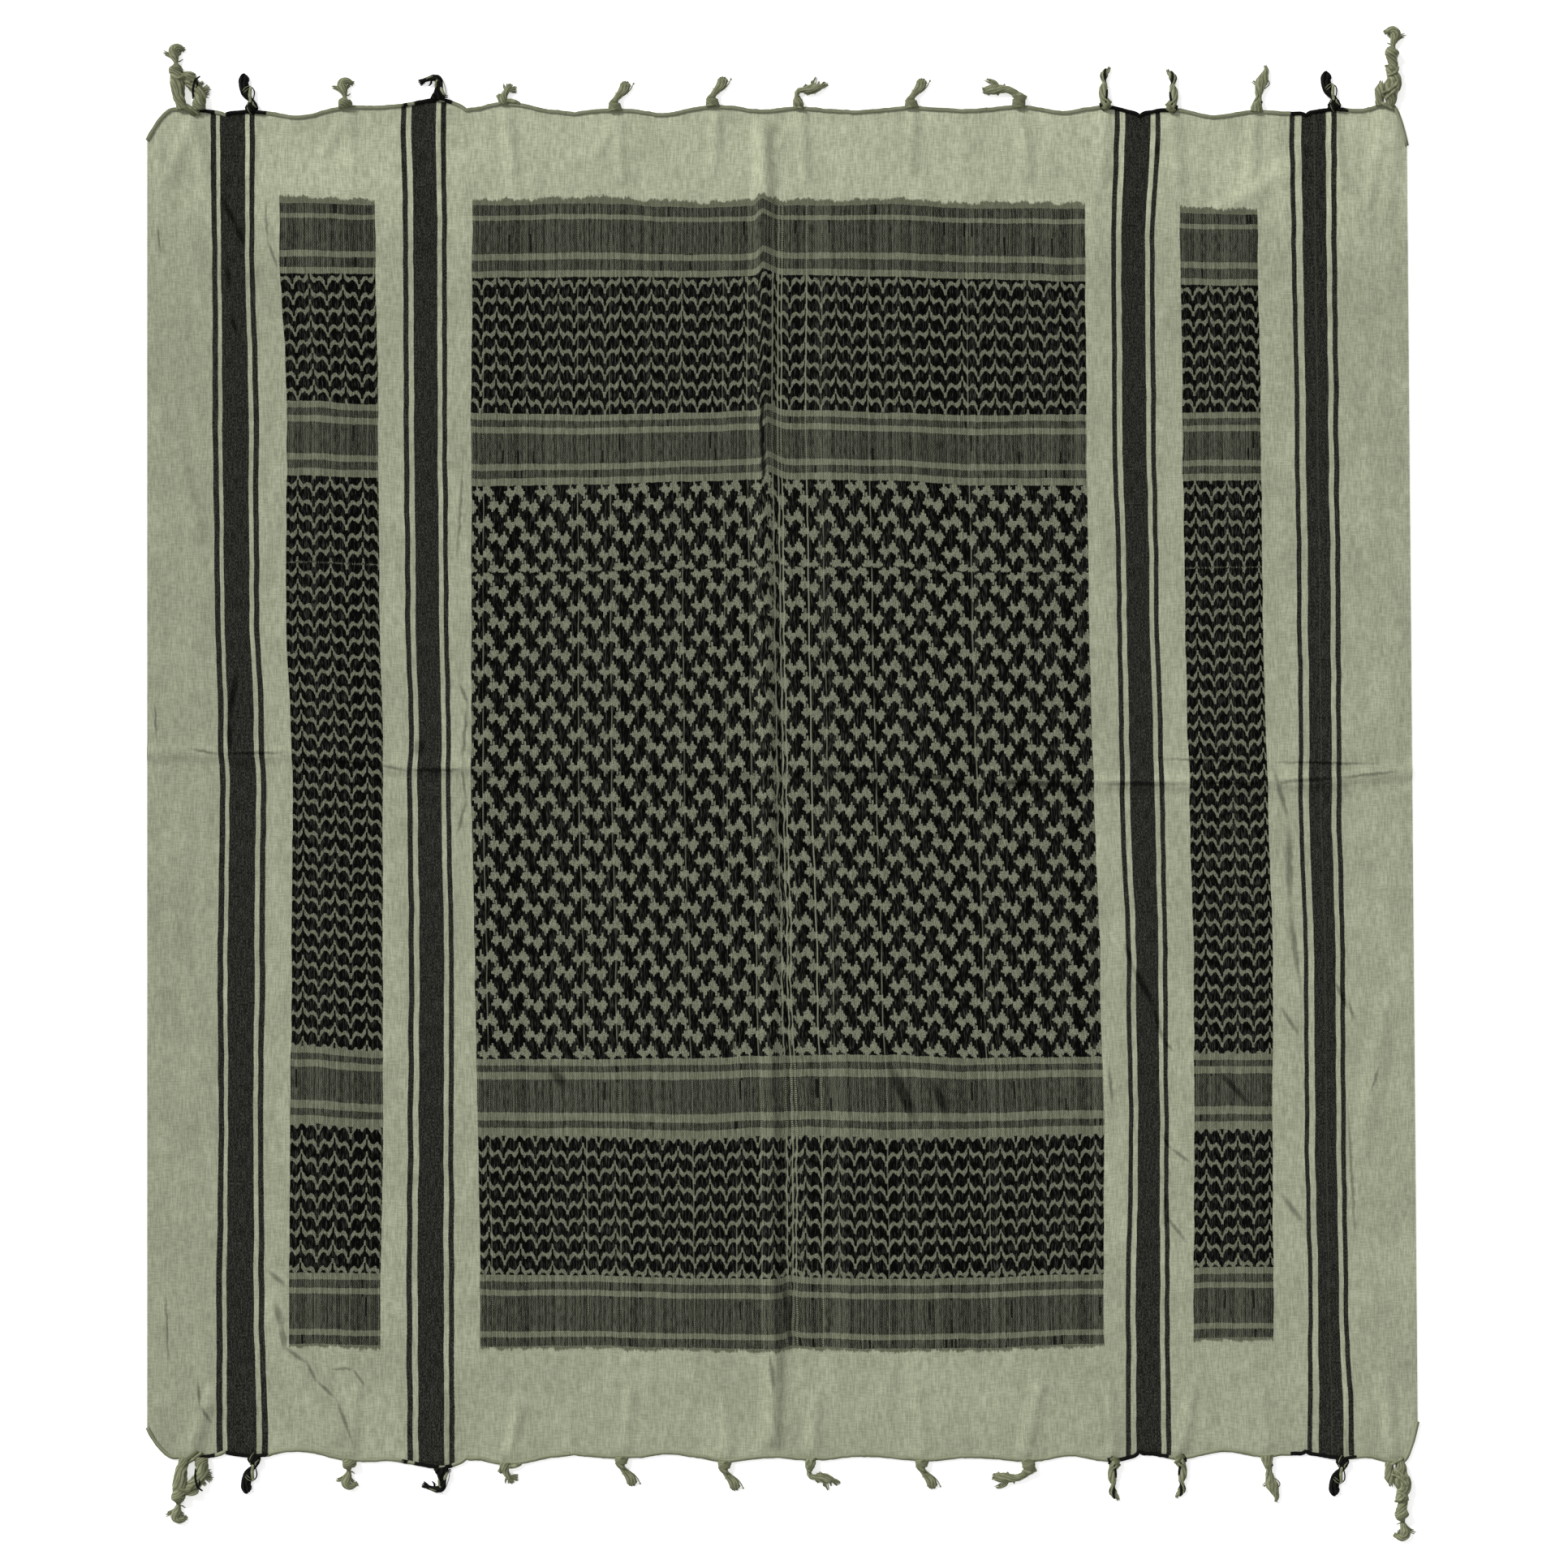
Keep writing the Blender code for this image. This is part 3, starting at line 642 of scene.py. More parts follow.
# Where in a repeat the hooks of the left and of the right panel start
LEFT_START = 0.572
RIGHT_START = 0.33
# Bands along the panels, each from its top to its bottom edge
PANEL_ENDS = ((253.0, 1658.0),)
DARK_BANDS = (
    (253.0, 266.0),
    (272.0, 313.0),
    (321.0, 334.0),
    (517.0, 526.0),
    (534.0, 572.0),
    (580.0, 590.0),
    (1313.0, 1321.0),
    (1330.0, 1371.0),
    (1381.0, 1390.0),
    (1580.0, 1590.0),
    (1597.0, 1640.0),
    (1647.0, 1658.0),
)
HOOK_BANDS = ((342.0, 509.0), (1400.0, 1572.0))
TEETH_BAND = ((599.0, 1305.0),)
# Frayed ends past the panels, from bare ground to full fray
FRAY_TOP = (244.5, 247.5)
FRAY_BOTTOM = (1663.0, 1660.0)
# Where the ground turns from its lighter top end, and from its darker left selvedge
TOP_END = (215.0, 330.0)
LEFT_SELVEDGE = (240.0, 300.0)
# The slot of the long fold on the loom: its place at the fold's start, and how it leans
SLOT = 947.0
SLOT_LEAN = 0.018
# Rows where the fold's painted shadow comes in, and where it and the slipped floats change over
FOLD_SHADOW_DEEPENS = (330.0, 500.0)
FOLD_SHADOW_FADES = (625.0, 595.0)
FLOATS_SLIP = (590.0, 640.0)
# Painted shadows of creases pressed into the laid cloth are fading ovals, so each is drawn a
# little longer and wider than it looks
CREASE_LONGER = 0.62
CREASE_WIDER = 1.35
# What a patch's material allows for that: a share of the crease's run, and some pixels
CREASE_PAST = 0.15
CREASE_SPARE = 6.0
# From, to, and half width
CREASE_SHADOWS = (
    (1003.0, 946.0, 1104.0, 951.0, 4.0),
    (1098.0, 951.0, 1204.0, 963.0, 4.0),
    (1196.0, 963.0, 1350.0, 967.0, 4.5),
    (1340.0, 965.0, 1470.0, 966.0, 3.2),
    (1460.0, 965.0, 1566.0, 965.0, 2.6),
    (1558.0, 965.0, 1652.0, 958.0, 3.0),
    (1646.0, 959.0, 1728.0, 950.0, 2.4),
    (1420.0, 935.0, 1568.0, 939.0, 2.4),
    (1560.0, 939.0, 1702.0, 941.0, 2.0),
    (232.0, 922.0, 274.0, 930.0, 2.2),
    (266.0, 929.0, 362.0, 927.0, 2.4),
    (356.0, 932.0, 474.0, 944.0, 2.6),
    (466.0, 942.0, 504.0, 950.0, 2.6),
    (496.0, 949.0, 582.0, 949.0, 2.8),
    (191.0, 862.0, 193.0, 914.0, 1.8),
    (292.0, 826.0, 281.0, 892.0, 5.0),
    (281.0, 886.0, 284.0, 928.0, 4.5),
    (519.0, 908.0, 514.0, 934.0, 6.0),
    (566.0, 842.0, 577.0, 868.0, 2.6),
    (576.0, 860.0, 569.0, 950.0, 2.4),
    (569.0, 942.0, 575.0, 990.0, 2.4),
    (575.0, 984.0, 563.0, 1030.0, 2.6),
    (571.0, 560.0, 563.0, 700.0, 2.2),
    (327.0, 244.0, 330.0, 300.0, 2.2),
    (329.0, 294.0, 343.0, 333.0, 2.4),
    (272.0, 240.0, 293.0, 281.0, 4.0),
    (290.0, 276.0, 303.0, 304.0, 4.5),
    (279.0, 326.0, 284.0, 352.0, 3.5),
    (285.0, 388.0, 292.0, 412.0, 3.5),
    (195.0, 276.0, 197.0, 316.0, 1.8),
    (1386.0, 1160.0, 1395.0, 1192.0, 3.4),
    (1392.0, 1184.0, 1424.0, 1244.0, 4.2),
    (1420.0, 1236.0, 1434.0, 1286.0, 3.4),
    (1432.0, 1280.0, 1446.0, 1296.0, 2.4),
    (1566.0, 938.0, 1589.0, 1016.0, 3.4),
    (1588.0, 1008.0, 1589.0, 1120.0, 5.0),
    (1588.0, 1112.0, 1603.0, 1226.0, 4.0),
    (1576.0, 1238.0, 1602.0, 1278.0, 3.0),
    (1642.0, 1204.0, 1660.0, 1242.0, 3.0),
    (1661.0, 1232.0, 1668.0, 1256.0, 2.4),
    (1366.0, 1310.0, 1371.0, 1366.0, 2.6),
    (1700.0, 1310.0, 1688.0, 1348.0, 2.0),
    (1502.0, 1320.0, 1542.0, 1364.0, 4.0),
    (1431.0, 1396.0, 1443.0, 1418.0, 2.4),
    (1440.0, 1413.0, 1469.0, 1434.0, 2.6),
    (1437.0, 1468.0, 1433.0, 1500.0, 2.4),
    (1433.0, 1494.0, 1464.0, 1533.0, 2.8),
    (1578.0, 1470.0, 1606.0, 1507.0, 4.0),
    (1661.0, 1366.0, 1670.0, 1532.0, 2.4),
    (1096.0, 1312.0, 1131.0, 1386.0, 8.0),
    (1148.0, 1330.0, 1168.0, 1376.0, 7.0),
    (678.0, 1314.0, 698.0, 1342.0, 7.0),
    (329.0, 1564.0, 354.0, 1586.0, 3.6),
    (339.0, 1602.0, 348.0, 1636.0, 5.0),
    (347.0, 1630.0, 352.0, 1664.0, 4.5),
    (350.0, 1658.0, 380.0, 1680.0, 3.0),
    (377.0, 1674.0, 391.0, 1704.0, 2.4),
    (389.0, 1699.0, 416.0, 1725.0, 2.4),
    (413.0, 1719.0, 436.0, 1780.0, 2.4),
    (410.0, 1687.0, 437.0, 1686.0, 2.0),
    (434.0, 1685.0, 451.0, 1709.0, 2.2),
    (244.0, 1700.0, 247.0, 1738.0, 2.4),
    (246.0, 1730.0, 262.0, 1755.0, 2.6),
    (204.0, 1588.0, 208.0, 1684.0, 2.0),
    (948.0, 1664.0, 955.0, 1720.0, 3.0),
    (966.0, 1565.0, 974.0, 1670.0, 5.0),
)
# Stretches of the hem that are black, where a stripe is rolled into it
BLACK_HEM = (
    (246.0, 265.0),
    (279.0, 329.0),
    (496.0, 503.0),
    (511.0, 541.0),
    (548.0, 557.0),
    (1365.0, 1440.0),
    (1590.0, 1656.0),
)
# The hook chart: pixels from the spike towards the pendant, where the green starts and ends
HALF_REPEAT = 19.57
HOOKS = (
    (0.0, 0.00, 0.29),
    (1.1, 0.00, 0.29),
    (1.3, 0.22, 0.60),
    (2.4, 0.30, 0.68),
    (3.6, 0.38, 0.76),
    (4.8, 0.47, 0.86),
    (6.0, 0.53, 0.89),
    (7.2, 0.57, 0.83),
    (8.4, 0.575, 0.75),
    (9.6, 0.54, 0.71),
    (10.8, 0.47, 0.69),
    (12.0, 0.44, 0.69),
    (13.2, 0.45, 0.73),
    (14.4, 0.48, 0.80),
    (15.6, 0.55, 0.89),
    (16.8, 0.63, 0.99),
    (17.8, 0.70, 1.08),
    (18.1, 0.97, 1.28),
    (19.57, 0.97, 1.28),
)
# The toothed charts: where the green starts and ends in each warp yarn, in sixteenths
TEETH_UP = (
    (4.8, 5.9),
    (4.3, 6.8),
    (1.2, 7.3),
    (3.4, 10.2),
    (4.5, 8.8),
    (4.5, 7.2),
    (2.8, 6.3),
    (1.5, 6.2),
    (0.0, 7.0),
    (2.0, 7.7),
    (3.6, 9.5),
    (4.7, 6.5),
)
TEETH_DOWN = (
    (4.0, 5.3),
    (2.3, 5.8),
    (2.2, 7.3),
    (0.0, 6.3),
    (2.2, 5.5),
    (2.2, 5.3),
    (4.0, 7.2),
    (3.8, 8.5),
    (2.8, 10.2),
    (1.3, 8.5),
    (3.2, 7.2),
    (4.2, 5.5),
)
# Pale single warp yarns that run the length of the centre panel, and the brightest of them
PALE_YARNS = (596.0, 715.0, 755.5, 846.0, 899.0, 930.0, 1024.0, 1083.0, 1206.0)
BRIGHT_YARNS = (962.0, 969.0, 973.5, 1004.5)
# A single dotted yarn in the last wide stripe
DOTTED_YARN = ((1626.4, 1628.0),)


def hook_stops():
    """Start and length of the green, in rows, on the way from a spike to a pendant."""
    return [(place / HALF_REPEAT, (start, end - start, 0.0, 1.0)) for place, start, end in HOOKS]


def tooth_stops(chart):
    """Start and length of the green in each warp yarn, and none past the chart."""
    stops = [
        (number / YARNS, (start / 16.0, (end - start) / 16.0, 0.0, 1.0))
        for number, (start, end) in enumerate(chart)
    ]
    return stops + [(len(chart) / YARNS, (0.0, 0.0, 0.0, 1.0))]


def strewn(r, across, along, fine_across, fine_along, layer=0.0, detail=3.0):
    """Noise drawn out along one side, around nought."""
    where = r.place(r.times(across, fine_across), r.times(along, fine_along), layer)
    return r.take(r.grain(where, detail), 0.5)


def hook_motif(r, across, along, side, jitter):
    """Where the hooks are green: rows of curled lines that hang from spikes."""
    above = r.math("LESS_THAN", along, HOOK_ZONES[0])
    below = r.math("GREATER_THAN", along, HOOK_ZONES[1])
    step = r.add(r.times(r.take(across, HOOK_LEFT), 1 / PATTERN_WIDTH), r.times(above, 0.5))
    step = r.times(r.math("PINGPONG", r.add(step, side), 0.5), 2.0)
    colour = r.ramp(step, hook_stops(), "LINEAR")
    start, length = r.channels(colour)[:2]
    rows = []
    for top, pitch in (HOOKS_BESIDE, HOOKS_ABOVE, HOOKS_BELOW):
        rows.append(r.times(r.take(along, top), 1 / pitch))
    row = r.add(rows[0], r.times(above, r.take(rows[1], rows[0])))
    row = r.add(row, r.times(below, r.take(rows[2], rows[0])))
    row = r.add(row, r.times(jitter, 0.06))
    return r.math("LESS_THAN", r.math("FRACT", r.take(row, start)), length)


def tooth_motif(r, across, along, jitter):
    """Where the teeth are green: some point up, others point down half a repeat away."""
    tooth = None
    for chart, left, top in (
        (TEETH_UP, TOOTH_LEFT, TOOTH_TOP),
        (TEETH_DOWN, TOOTH_LEFT + TOOTH_SHIFT[0], TOOTH_TOP + TOOTH_SHIFT[1]),
    ):
        column = r.math("FRACT", r.times(r.take(across, left), 1 / PATTERN_WIDTH))
        colour = r.ramp(column, tooth_stops(chart))
        start, length = r.channels(colour)[:2]
        row = r.times(r.take(along, top), 1 / TOOTH_ROW)
        row = r.add(row, r.times(jitter, 0.03))
        found = r.math("LESS_THAN", r.math("FRACT", r.take(row, start)), length)
        tooth = found if tooth is None else r.larger(tooth, found)
    return tooth


def near(stretches, low, high):
    """The stretches that a patch reaching from low to high can show."""
    return [(start, end) for start, end in stretches if start < high + SPARE and end > low - SPARE]


def creases_near(left, right, top, bottom):
    """The painted crease shadows that reach into a patch."""
    found = []
    for crease in CREASE_SHADOWS:
        x_from, y_from, x_to, y_to, half = crease
        spare = CREASE_PAST * math.hypot(x_to - x_from, y_to - y_from) + half + CREASE_SPARE
        beside = max(x_from, x_to) + spare < left or min(x_from, x_to) - spare > right
        past = max(y_from, y_to) + spare < top or min(y_from, y_to) - spare > bottom
        if not beside and not past:
            found.append(crease)
    return found


def cloth_material(name, left_side, right_side, top_end, bottom_end):
    """Cotton: pale plain weave, black twill stripes, banded panels of hooks and teeth.

    The sides and ends are those of the patch that wears it, in pixels of the photograph.
    """
    r = Recipe(name)
    across, along = r.pixels(r.sides("loom"))

    # Yarns wander a little, so that no row or column is quite straight
    drift = strewn(r, across, along, 0.02, 0.02, 0.0, 1.0)
    wave = strewn(r, across, along, 0.03, 0.03, 5.0, 1.0)
    across = r.add(across, r.times(drift, 3.0))
    along = r.add(along, r.times(wave, 3.0))

    # Beside the long fold the floats have slipped up and down
    fold = r.take(across, r.math("MULTIPLY_ADD", r.take(along, FOLD_STARTS), SLOT_LEAN, SLOT))
    near_fold = r.spread(r.math("ABSOLUTE", fold), 30.0, 4.0)
    near_fold = r.times(near_fold, r.spread(along, *FLOATS_SLIP, 0.25, 1.0))
    sideways = strewn(r, across, along, 0.10, 0.04, 3.0, 2.0)
    bent = r.add(across, r.times(r.times(sideways, near_fold), 6.0))
    up_and_down = strewn(r, across, along, 0.25, 0.02, 7.0, 2.0)
    slid = r.add(along, r.times(r.times(up_and_down, near_fold), 18.0))
    uneven = r.add(along, r.times(strewn(r, across, along, 0.3, 0.02, 12.0, 1.0), 8.0))
    slid = r.add(slid, r.times(r.math("GREATER_THAN", uneven, HARD_BEAT), BEATEN_AWAY))
    beaten = r.spread(r.math("ABSOLUTE", r.take(along, HARD_BEAT)), 1.5, 0.4)
    yarn = r.math("FLOOR", r.times(bent, YARNS / PATTERN_WIDTH))
    pick = r.math("FLOOR", r.times(along, 0.9))
    jitter = r.take(r.speck(r.place(yarn, pick)), 0.5)
    ragged = r.take(r.speck(r.place(yarn, 3.0, 2.0)), 0.5)
    jitter = r.add(jitter, ragged)

    # Stripes and panels
    nibble = strewn(r, across, along, 0.1, 0.6, 9.0, 2.0)
    edge_across = r.add(across, r.times(nibble, 1.2))
    black = r.within(edge_across, near(NARROW_STRIPES + WIDE_STRIPES, left_side, right_side))
    left = r.within(edge_across, near(LEFT_PANEL, left_side, right_side))
    right = r.within(edge_across, near(RIGHT_PANEL, left_side, right_side))
    in_side = r.larger(left, right)
    side = r.add(r.times(left, LEFT_START), r.times(right, RIGHT_START))
    centre = r.within(edge_across, near(CENTRE_PANEL, left_side, right_side))
    edge_along = r.add(along, r.times(jitter, 0.55))
    woven = r.within(edge_along, near(DARK_BANDS, top_end, bottom_end))
    banded = r.within(edge_along, PANEL_ENDS)
    teeth = r.within(edge_along, near(TEETH_BAND, top_end, bottom_end))
    patterned = r.larger(teeth, r.within(edge_along, near(HOOK_BANDS, top_end, bottom_end)))
    panel = r.times(r.larger(in_side, centre), banded)
    teeth = r.times(teeth, centre)
    hook = hook_motif(r, bent, slid, side, jitter)
    tooth = tooth_motif(r, bent, slid, jitter)
    motif = r.add(r.times(teeth, tooth), r.times(r.take(1.0, teeth), hook))

    # Yarn by yarn light and shade
    rib = r.math("SINE", r.times(bent, 2 * math.pi * YARNS / PATTERN_WIDTH))
    rib = r.spread(rib, -0.6, 0.8)
    cast = r.speck(r.place(yarn, 9.0, 4.0))
    streak = strewn(r, bent, slid, 0.75, 0.09)
    fine = strewn(r, across, along, 0.9, 0.9, 0.0, 1.0)
    slub = strewn(r, across, along, 0.60, 0.06, 4.0, 2.0)
    cross = strewn(r, across, along, 0.09, 0.60, 1.0, 2.0)
    blotch = strewn(r, across, along, 0.14, 0.09, 2.0, 2.0)
    cloudy = strewn(r, across, along, 0.012, 0.012, 8.0)
    wisp = strewn(r, across, along, 0.85, 0.38, 6.0)
    twill = r.math("SINE", r.add(r.times(across, 2.2), r.times(along, 1.5)))

    # Pale plain weave
    mottle = r.add(r.times(slub, 1.3), r.times(cross, 0.9))
    mottle = r.add(mottle, r.add(r.times(blotch, 0.4), r.times(fine, 0.5)))
    ground = r.mix(r.spread(mottle, -0.34, 0.34), PALE_RIB, PALE)
    # Lighter at the top end, darker along the left selvedge, a little cloudy, and soft wrinkles drawn
    # in as painted light and shade
    shade = r.spread(along, *TOP_END, 1.22, 1.0)
    shade = r.times(shade, r.spread(across, *LEFT_SELVEDGE, 0.93, 1.0))
    shade = r.times(shade, r.spread(cloudy, -0.25, 0.25, 0.93, 1.07))
    painted_wrinkle_shade = strewn(r, across, along, 0.075, 0.011, 14.0, 2.0)
    shade = r.times(shade, r.spread(painted_wrinkle_shade, -0.22, 0.22, 0.93, 1.06))
    ground = r.dimmed(ground, shade)

    # Black twill stripes
    specks = r.add(r.times(wisp, 0.7), r.add(r.times(slub, 0.35), r.times(twill, 0.025)))
    stripe = r.mix(r.spread(specks, -0.10, 0.20), STRIPE_BLACK, STRIPE_SPECK)

    # Bands of grey and of pale lines, with a black tick where a yarn is missing
    thread = r.add(r.add(r.times(rib, 0.35), r.times(cast, 0.35)), r.times(twill, 0.10))
    thread = r.add(thread, r.add(r.times(streak, 1.2), r.times(fine, 0.8)))
    thread = r.spread(thread, 0.0, 0.9)
    grey = r.mix(thread, BAND_DARK_SHADE, BAND_DARK)
    missing = r.speck(r.place(yarn, r.math("FLOOR", r.times(along, 0.045)), 5.0))
    grey = r.mix(r.times(r.math("GREATER_THAN", missing, 0.988), 0.85), grey, FLOAT_BLACK)
    band = r.mix(woven, r.mix(thread, BAND_LIGHT_SHADE, BAND_LIGHT), grey)

    # Hooks and teeth in green on black floats
    lit = r.mix(r.spread(r.add(fine, r.times(streak, 0.6)), -0.26, 0.26), MOTIF_SHADE, MOTIF)
    lit = r.mix(r.spread(streak, 0.12, 0.30, 0.0, 0.35), lit, PALE)
    dim = r.math("MULTIPLY_ADD", teeth, 1.0 - HOOK_DIMMED, HOOK_DIMMED)
    lit = r.dimmed(lit, dim)
    floats = r.mix(r.spread(r.add(streak, r.times(cast, 0.14)), 0.04, 0.38), FLOAT_BLACK, FLOAT_GREY)
    inside = r.mix(patterned, band, r.mix(motif, floats, lit))
    colour = r.mix(panel, r.mix(black, ground, stripe), inside)

    # Frayed ends where the bands' yarns were cut, past both ends of each panel
    tuft = strewn(r, across, along, 0.07, 0.03, 2.0)
    tuft = r.add(tuft, r.times(strewn(r, across, along, 0.4, 0.1), 0.6))
    near_top = r.spread(r.add(along, r.times(tuft, 16.0)), *FRAY_TOP)
    near_end = r.spread(r.add(along, r.times(tuft, 14.0)), *FRAY_BOTTOM)
    past_bands = r.times(r.larger(in_side, centre), r.take(1.0, banded))
    frayed = r.times(r.times(near_top, near_end), past_bands)
    fray = r.mix(r.spread(r.add(streak, fine), -0.2, 0.25), FRAY_SHADE, FRAY)
    colour = r.mix(r.times(frayed, 0.9), colour, fray)

    # Single pale yarns, seen as rows of beads in the bands
    beads = r.spread(r.math("SINE", r.times(along, 2.6)), -0.6, 0.6)
    shown = r.spread(strewn(r, yarn, along, 3.1, 0.02, 6.0, 1.0), -0.15, 0.1)
    shown = r.times(r.times(shown, panel), r.larger(beads, r.times(patterned, 0.6)))
    yarns = near([(middle - 0.7, middle + 0.7) for middle in PALE_YARNS], left_side, right_side)
    colour = r.mix(r.times(r.times(r.within(bent, yarns, 0.4), shown), 0.6), colour, PALE_RIB)
    yarns = near([(middle - 0.8, middle + 0.8) for middle in BRIGHT_YARNS], left_side, right_side)
    shown = r.times(panel, r.larger(beads, r.times(patterned, 0.75)))
    colour = r.mix(r.times(r.times(r.within(bent, yarns, 0.4), shown), 0.85), colour, PALE_RIB)
    dots = r.times(r.within(bent, DOTTED_YARN, 0.5), beads)
    colour = r.mix(r.times(dots, 0.5), colour, BAND_LIGHT_SHADE)

    # Pale streaks beside the fold, and a broken line at each hard beat
    streaks = r.spread(strewn(r, bent, along, 0.7, 0.06, 11.0, 2.0), 0.08, 0.20)
    streaks = r.times(r.times(streaks, near_fold), r.times(patterned, panel))
    colour = r.mix(r.times(streaks, 0.5), colour, MOTIF)
    beaten = r.times(r.times(beaten, panel), r.spread(r.add(fine, streak), -0.05, 0.25))
    colour = r.mix(r.times(beaten, 0.6), colour, r.mix(in_side, FLOAT_BLACK, MOTIF))

    # The painted shadow in the dark slot of the long fold
    shadow_wanders = r.times(strewn(r, along, 0.0, 0.05, 0.0, 13.0, 2.0), 9.0)
    fold_shadow = r.spread(r.math("ABSOLUTE", r.add(r.add(fold, shadow_wanders), 3.0)), 3.6, 0.8)
    fold_shadow = r.times(fold_shadow, r.spread(along, *FOLD_SHADOW_FADES, 0.25, 1.0))
    fold_shadow = r.times(fold_shadow, r.spread(along, *FOLD_SHADOW_DEEPENS, 0.18, 0.90))
    fold_shadow = r.times(fold_shadow, r.times(panel, r.take(1.0, r.times(patterned, 0.5))))
    colour = r.mix(fold_shadow, colour, FLOAT_BLACK)

    # Painted shadows of the creases, where the cloth lies and not where it was woven: darker on the
    # stripes and panels, softer on the pale ground
    lies = r.tree.nodes.new("ShaderNodeTexCoord")
    lies_across, lies_along = r.pixels(r.split(lies.outputs["Object"]))
    sway = r.times(blotch, 5.0)
    spot = r.place(r.add(lies_across, sway), r.add(lies_along, sway))
    crease_shadow = r.shadow_ovals(spot, creases_near(left_side, right_side, top_end, bottom_end))
    dim = r.spread(crease_shadow, 0.0, 0.75, 1.0, 0.30)
    on_ground = r.take(1.0, r.larger(black, panel))
    dim = r.larger(dim, r.times(on_ground, r.spread(crease_shadow, 0.0, 0.8, 1.0, 0.52)))
    r.feed(r.shader.inputs["Base Color"], r.dimmed(colour, dim))

    weave = r.add(r.times(r.add(slub, cross), 0.4), r.times(fine, 0.2))
    r.feed(r.shader.inputs["Normal"], r.bump(weave, 0.40, 0.0007))
    return r.matt(COTTON_ROUGHNESS)


def hem_material():
    """The rolled edge: olive thread wound over the fold, black where a stripe ends in it."""
    r = Recipe("scarf_hem")
    across, turn = r.sides("roll")
    across = r.math("MULTIPLY_ADD", across, PIXELS_PER_MM / MM, PIXEL_ACROSS)
    sway = r.times(r.take(r.grain(r.place(r.times(across, 0.2), turn), 1.0), 0.5), 5.0)
    black = r.within(r.add(across, sway), BLACK_HEM, 1.0)
    round_it = r.times(r.math("PINGPONG", turn, 0.5), 2.0)
    lines = r.grain(r.place(r.times(across, 0.05), r.times(turn, 16.0)), 3.0)
    fuzz = r.grain(r.place(r.times(across, 0.45), r.times(turn, 5.0), 3.0), 3.0)
    patches = r.grain(r.place(r.times(across, 0.035), 0.0, 5.0), 2.0)
    # Pale on the inner side of the roll and olive on its outer side, in patches along it: the thread's
    # own olive, graded round the roll as painted shade
    rolled = r.add(r.times(round_it, 1.1), r.times(r.take(patches, 0.5), 0.9))
    bright = r.add(r.times(lines, 0.7), r.times(fuzz, 0.5))
    olive = r.mix(r.spread(bright, 0.42, 0.80), HEM_SHADE, HEM_OLIVE)
    olive = r.mix(r.spread(rolled, 0.25, 0.90), olive, PALE_RIB)
    dark = r.mix(r.spread(fuzz, 0.5, 0.75), YARN_BLACK, BAND_DARK_SHADE)
    r.feed(r.shader.inputs["Base Color"], r.mix(black, olive, dark))
    r.feed(r.shader.inputs["Normal"], r.bump(bright, 0.4, 0.0005))
    return r.matt(COTTON_ROUGHNESS)


def yarn_material(name, light, shade):
    """Spun cotton yarn: fibres along it, with painted shade in the grooves between yarns."""
    r = Recipe(name)
    round_it, length = r.sides("yarn")
    off_top = r.times(r.math("ABSOLUTE", r.take(r.math("FRACT", round_it), 0.5)), 2.0)
    fibres = r.grain(r.place(r.times(round_it, 5.0), r.times(length, 2.5)), 3.0)
    broad = r.grain(r.place(round_it, r.times(length, 0.8), 4.0), 2.0)
    bright = r.add(r.times(fibres, 0.9), r.times(broad, 0.6))
    # Painted shade: darker away from the top of each yarn, down in the grooves
    bright = r.take(r.spread(bright, 0.45, 1.05), r.spread(off_top, 0.55, 1.0, 0.0, 0.75))
    colour = r.mix(r.spread(bright, 0.0, 1.0), shade, light)
    r.feed(r.shader.inputs["Base Color"], colour)
    r.feed(r.shader.inputs["Normal"], r.bump(fibres, 0.6, 0.0004))
    return r.matt(COTTON_ROUGHNESS)


def floor_material():
    """A pale floor that glows a little, so that it stays white beside the shadows."""
    r = Recipe("pale_floor")
    r.shader.inputs["Base Color"].default_value = FLOOR_WHITE
    r.shader.inputs["Emission Color"].default_value = WHITE
    r.shader.inputs["Emission Strength"].default_value = FLOOR_GLOW
    return r.matt(FLOOR_ROUGHNESS)


HEM = hem_material()
GREEN = yarn_material("scarf_yarn_green", YARN_GREEN, YARN_SHADE)
BLACK = yarn_material("scarf_yarn_black", BLACK_YARN_LIGHT, BLACK_YARN_SHADE)

PATCH_NAMES = (
    ("cloth_lower_left", "cloth_lower_middle", "cloth_lower_right"),
    ("cloth_left", "cloth_middle", "cloth_right"),
    ("cloth_upper_left", "cloth_upper_middle", "cloth_upper_right"),
)


def patch_reach(lines):
    """A patch's sides and ends, in pixels of the photograph."""
    across = [PIXEL_ACROSS + PIXELS_PER_MM * point[0] for line in lines for point in line]
    along = [PIXEL_ALONG - PIXELS_PER_MM * point[1] for line in lines for point in line]
    return min(across), max(across), min(along), max(along)


def lay_cloth():
    """The cloth in nine patches, so that each keeps a sharp weave when it is baked."""
    grid = cloth_grid()
    rows, columns = len(grid) - 1, len(grid[0]) - 1
    for up, names in enumerate(PATCH_NAMES):
        for right, name in enumerate(names):
            row_from, row_to = up * rows // PATCHES, (up + 1) * rows // PATCHES
            column_from, column_to = right * columns // PATCHES, (right + 1) * columns // PATCHES
            lines = [line[column_from : column_to + 1] for line in grid[row_from : row_to + 1]]
            patch = cloth_patch(name, lines, cloth_material(f"scarf_{name}", *patch_reach(lines)))
            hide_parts("cloth")


lay_cloth()


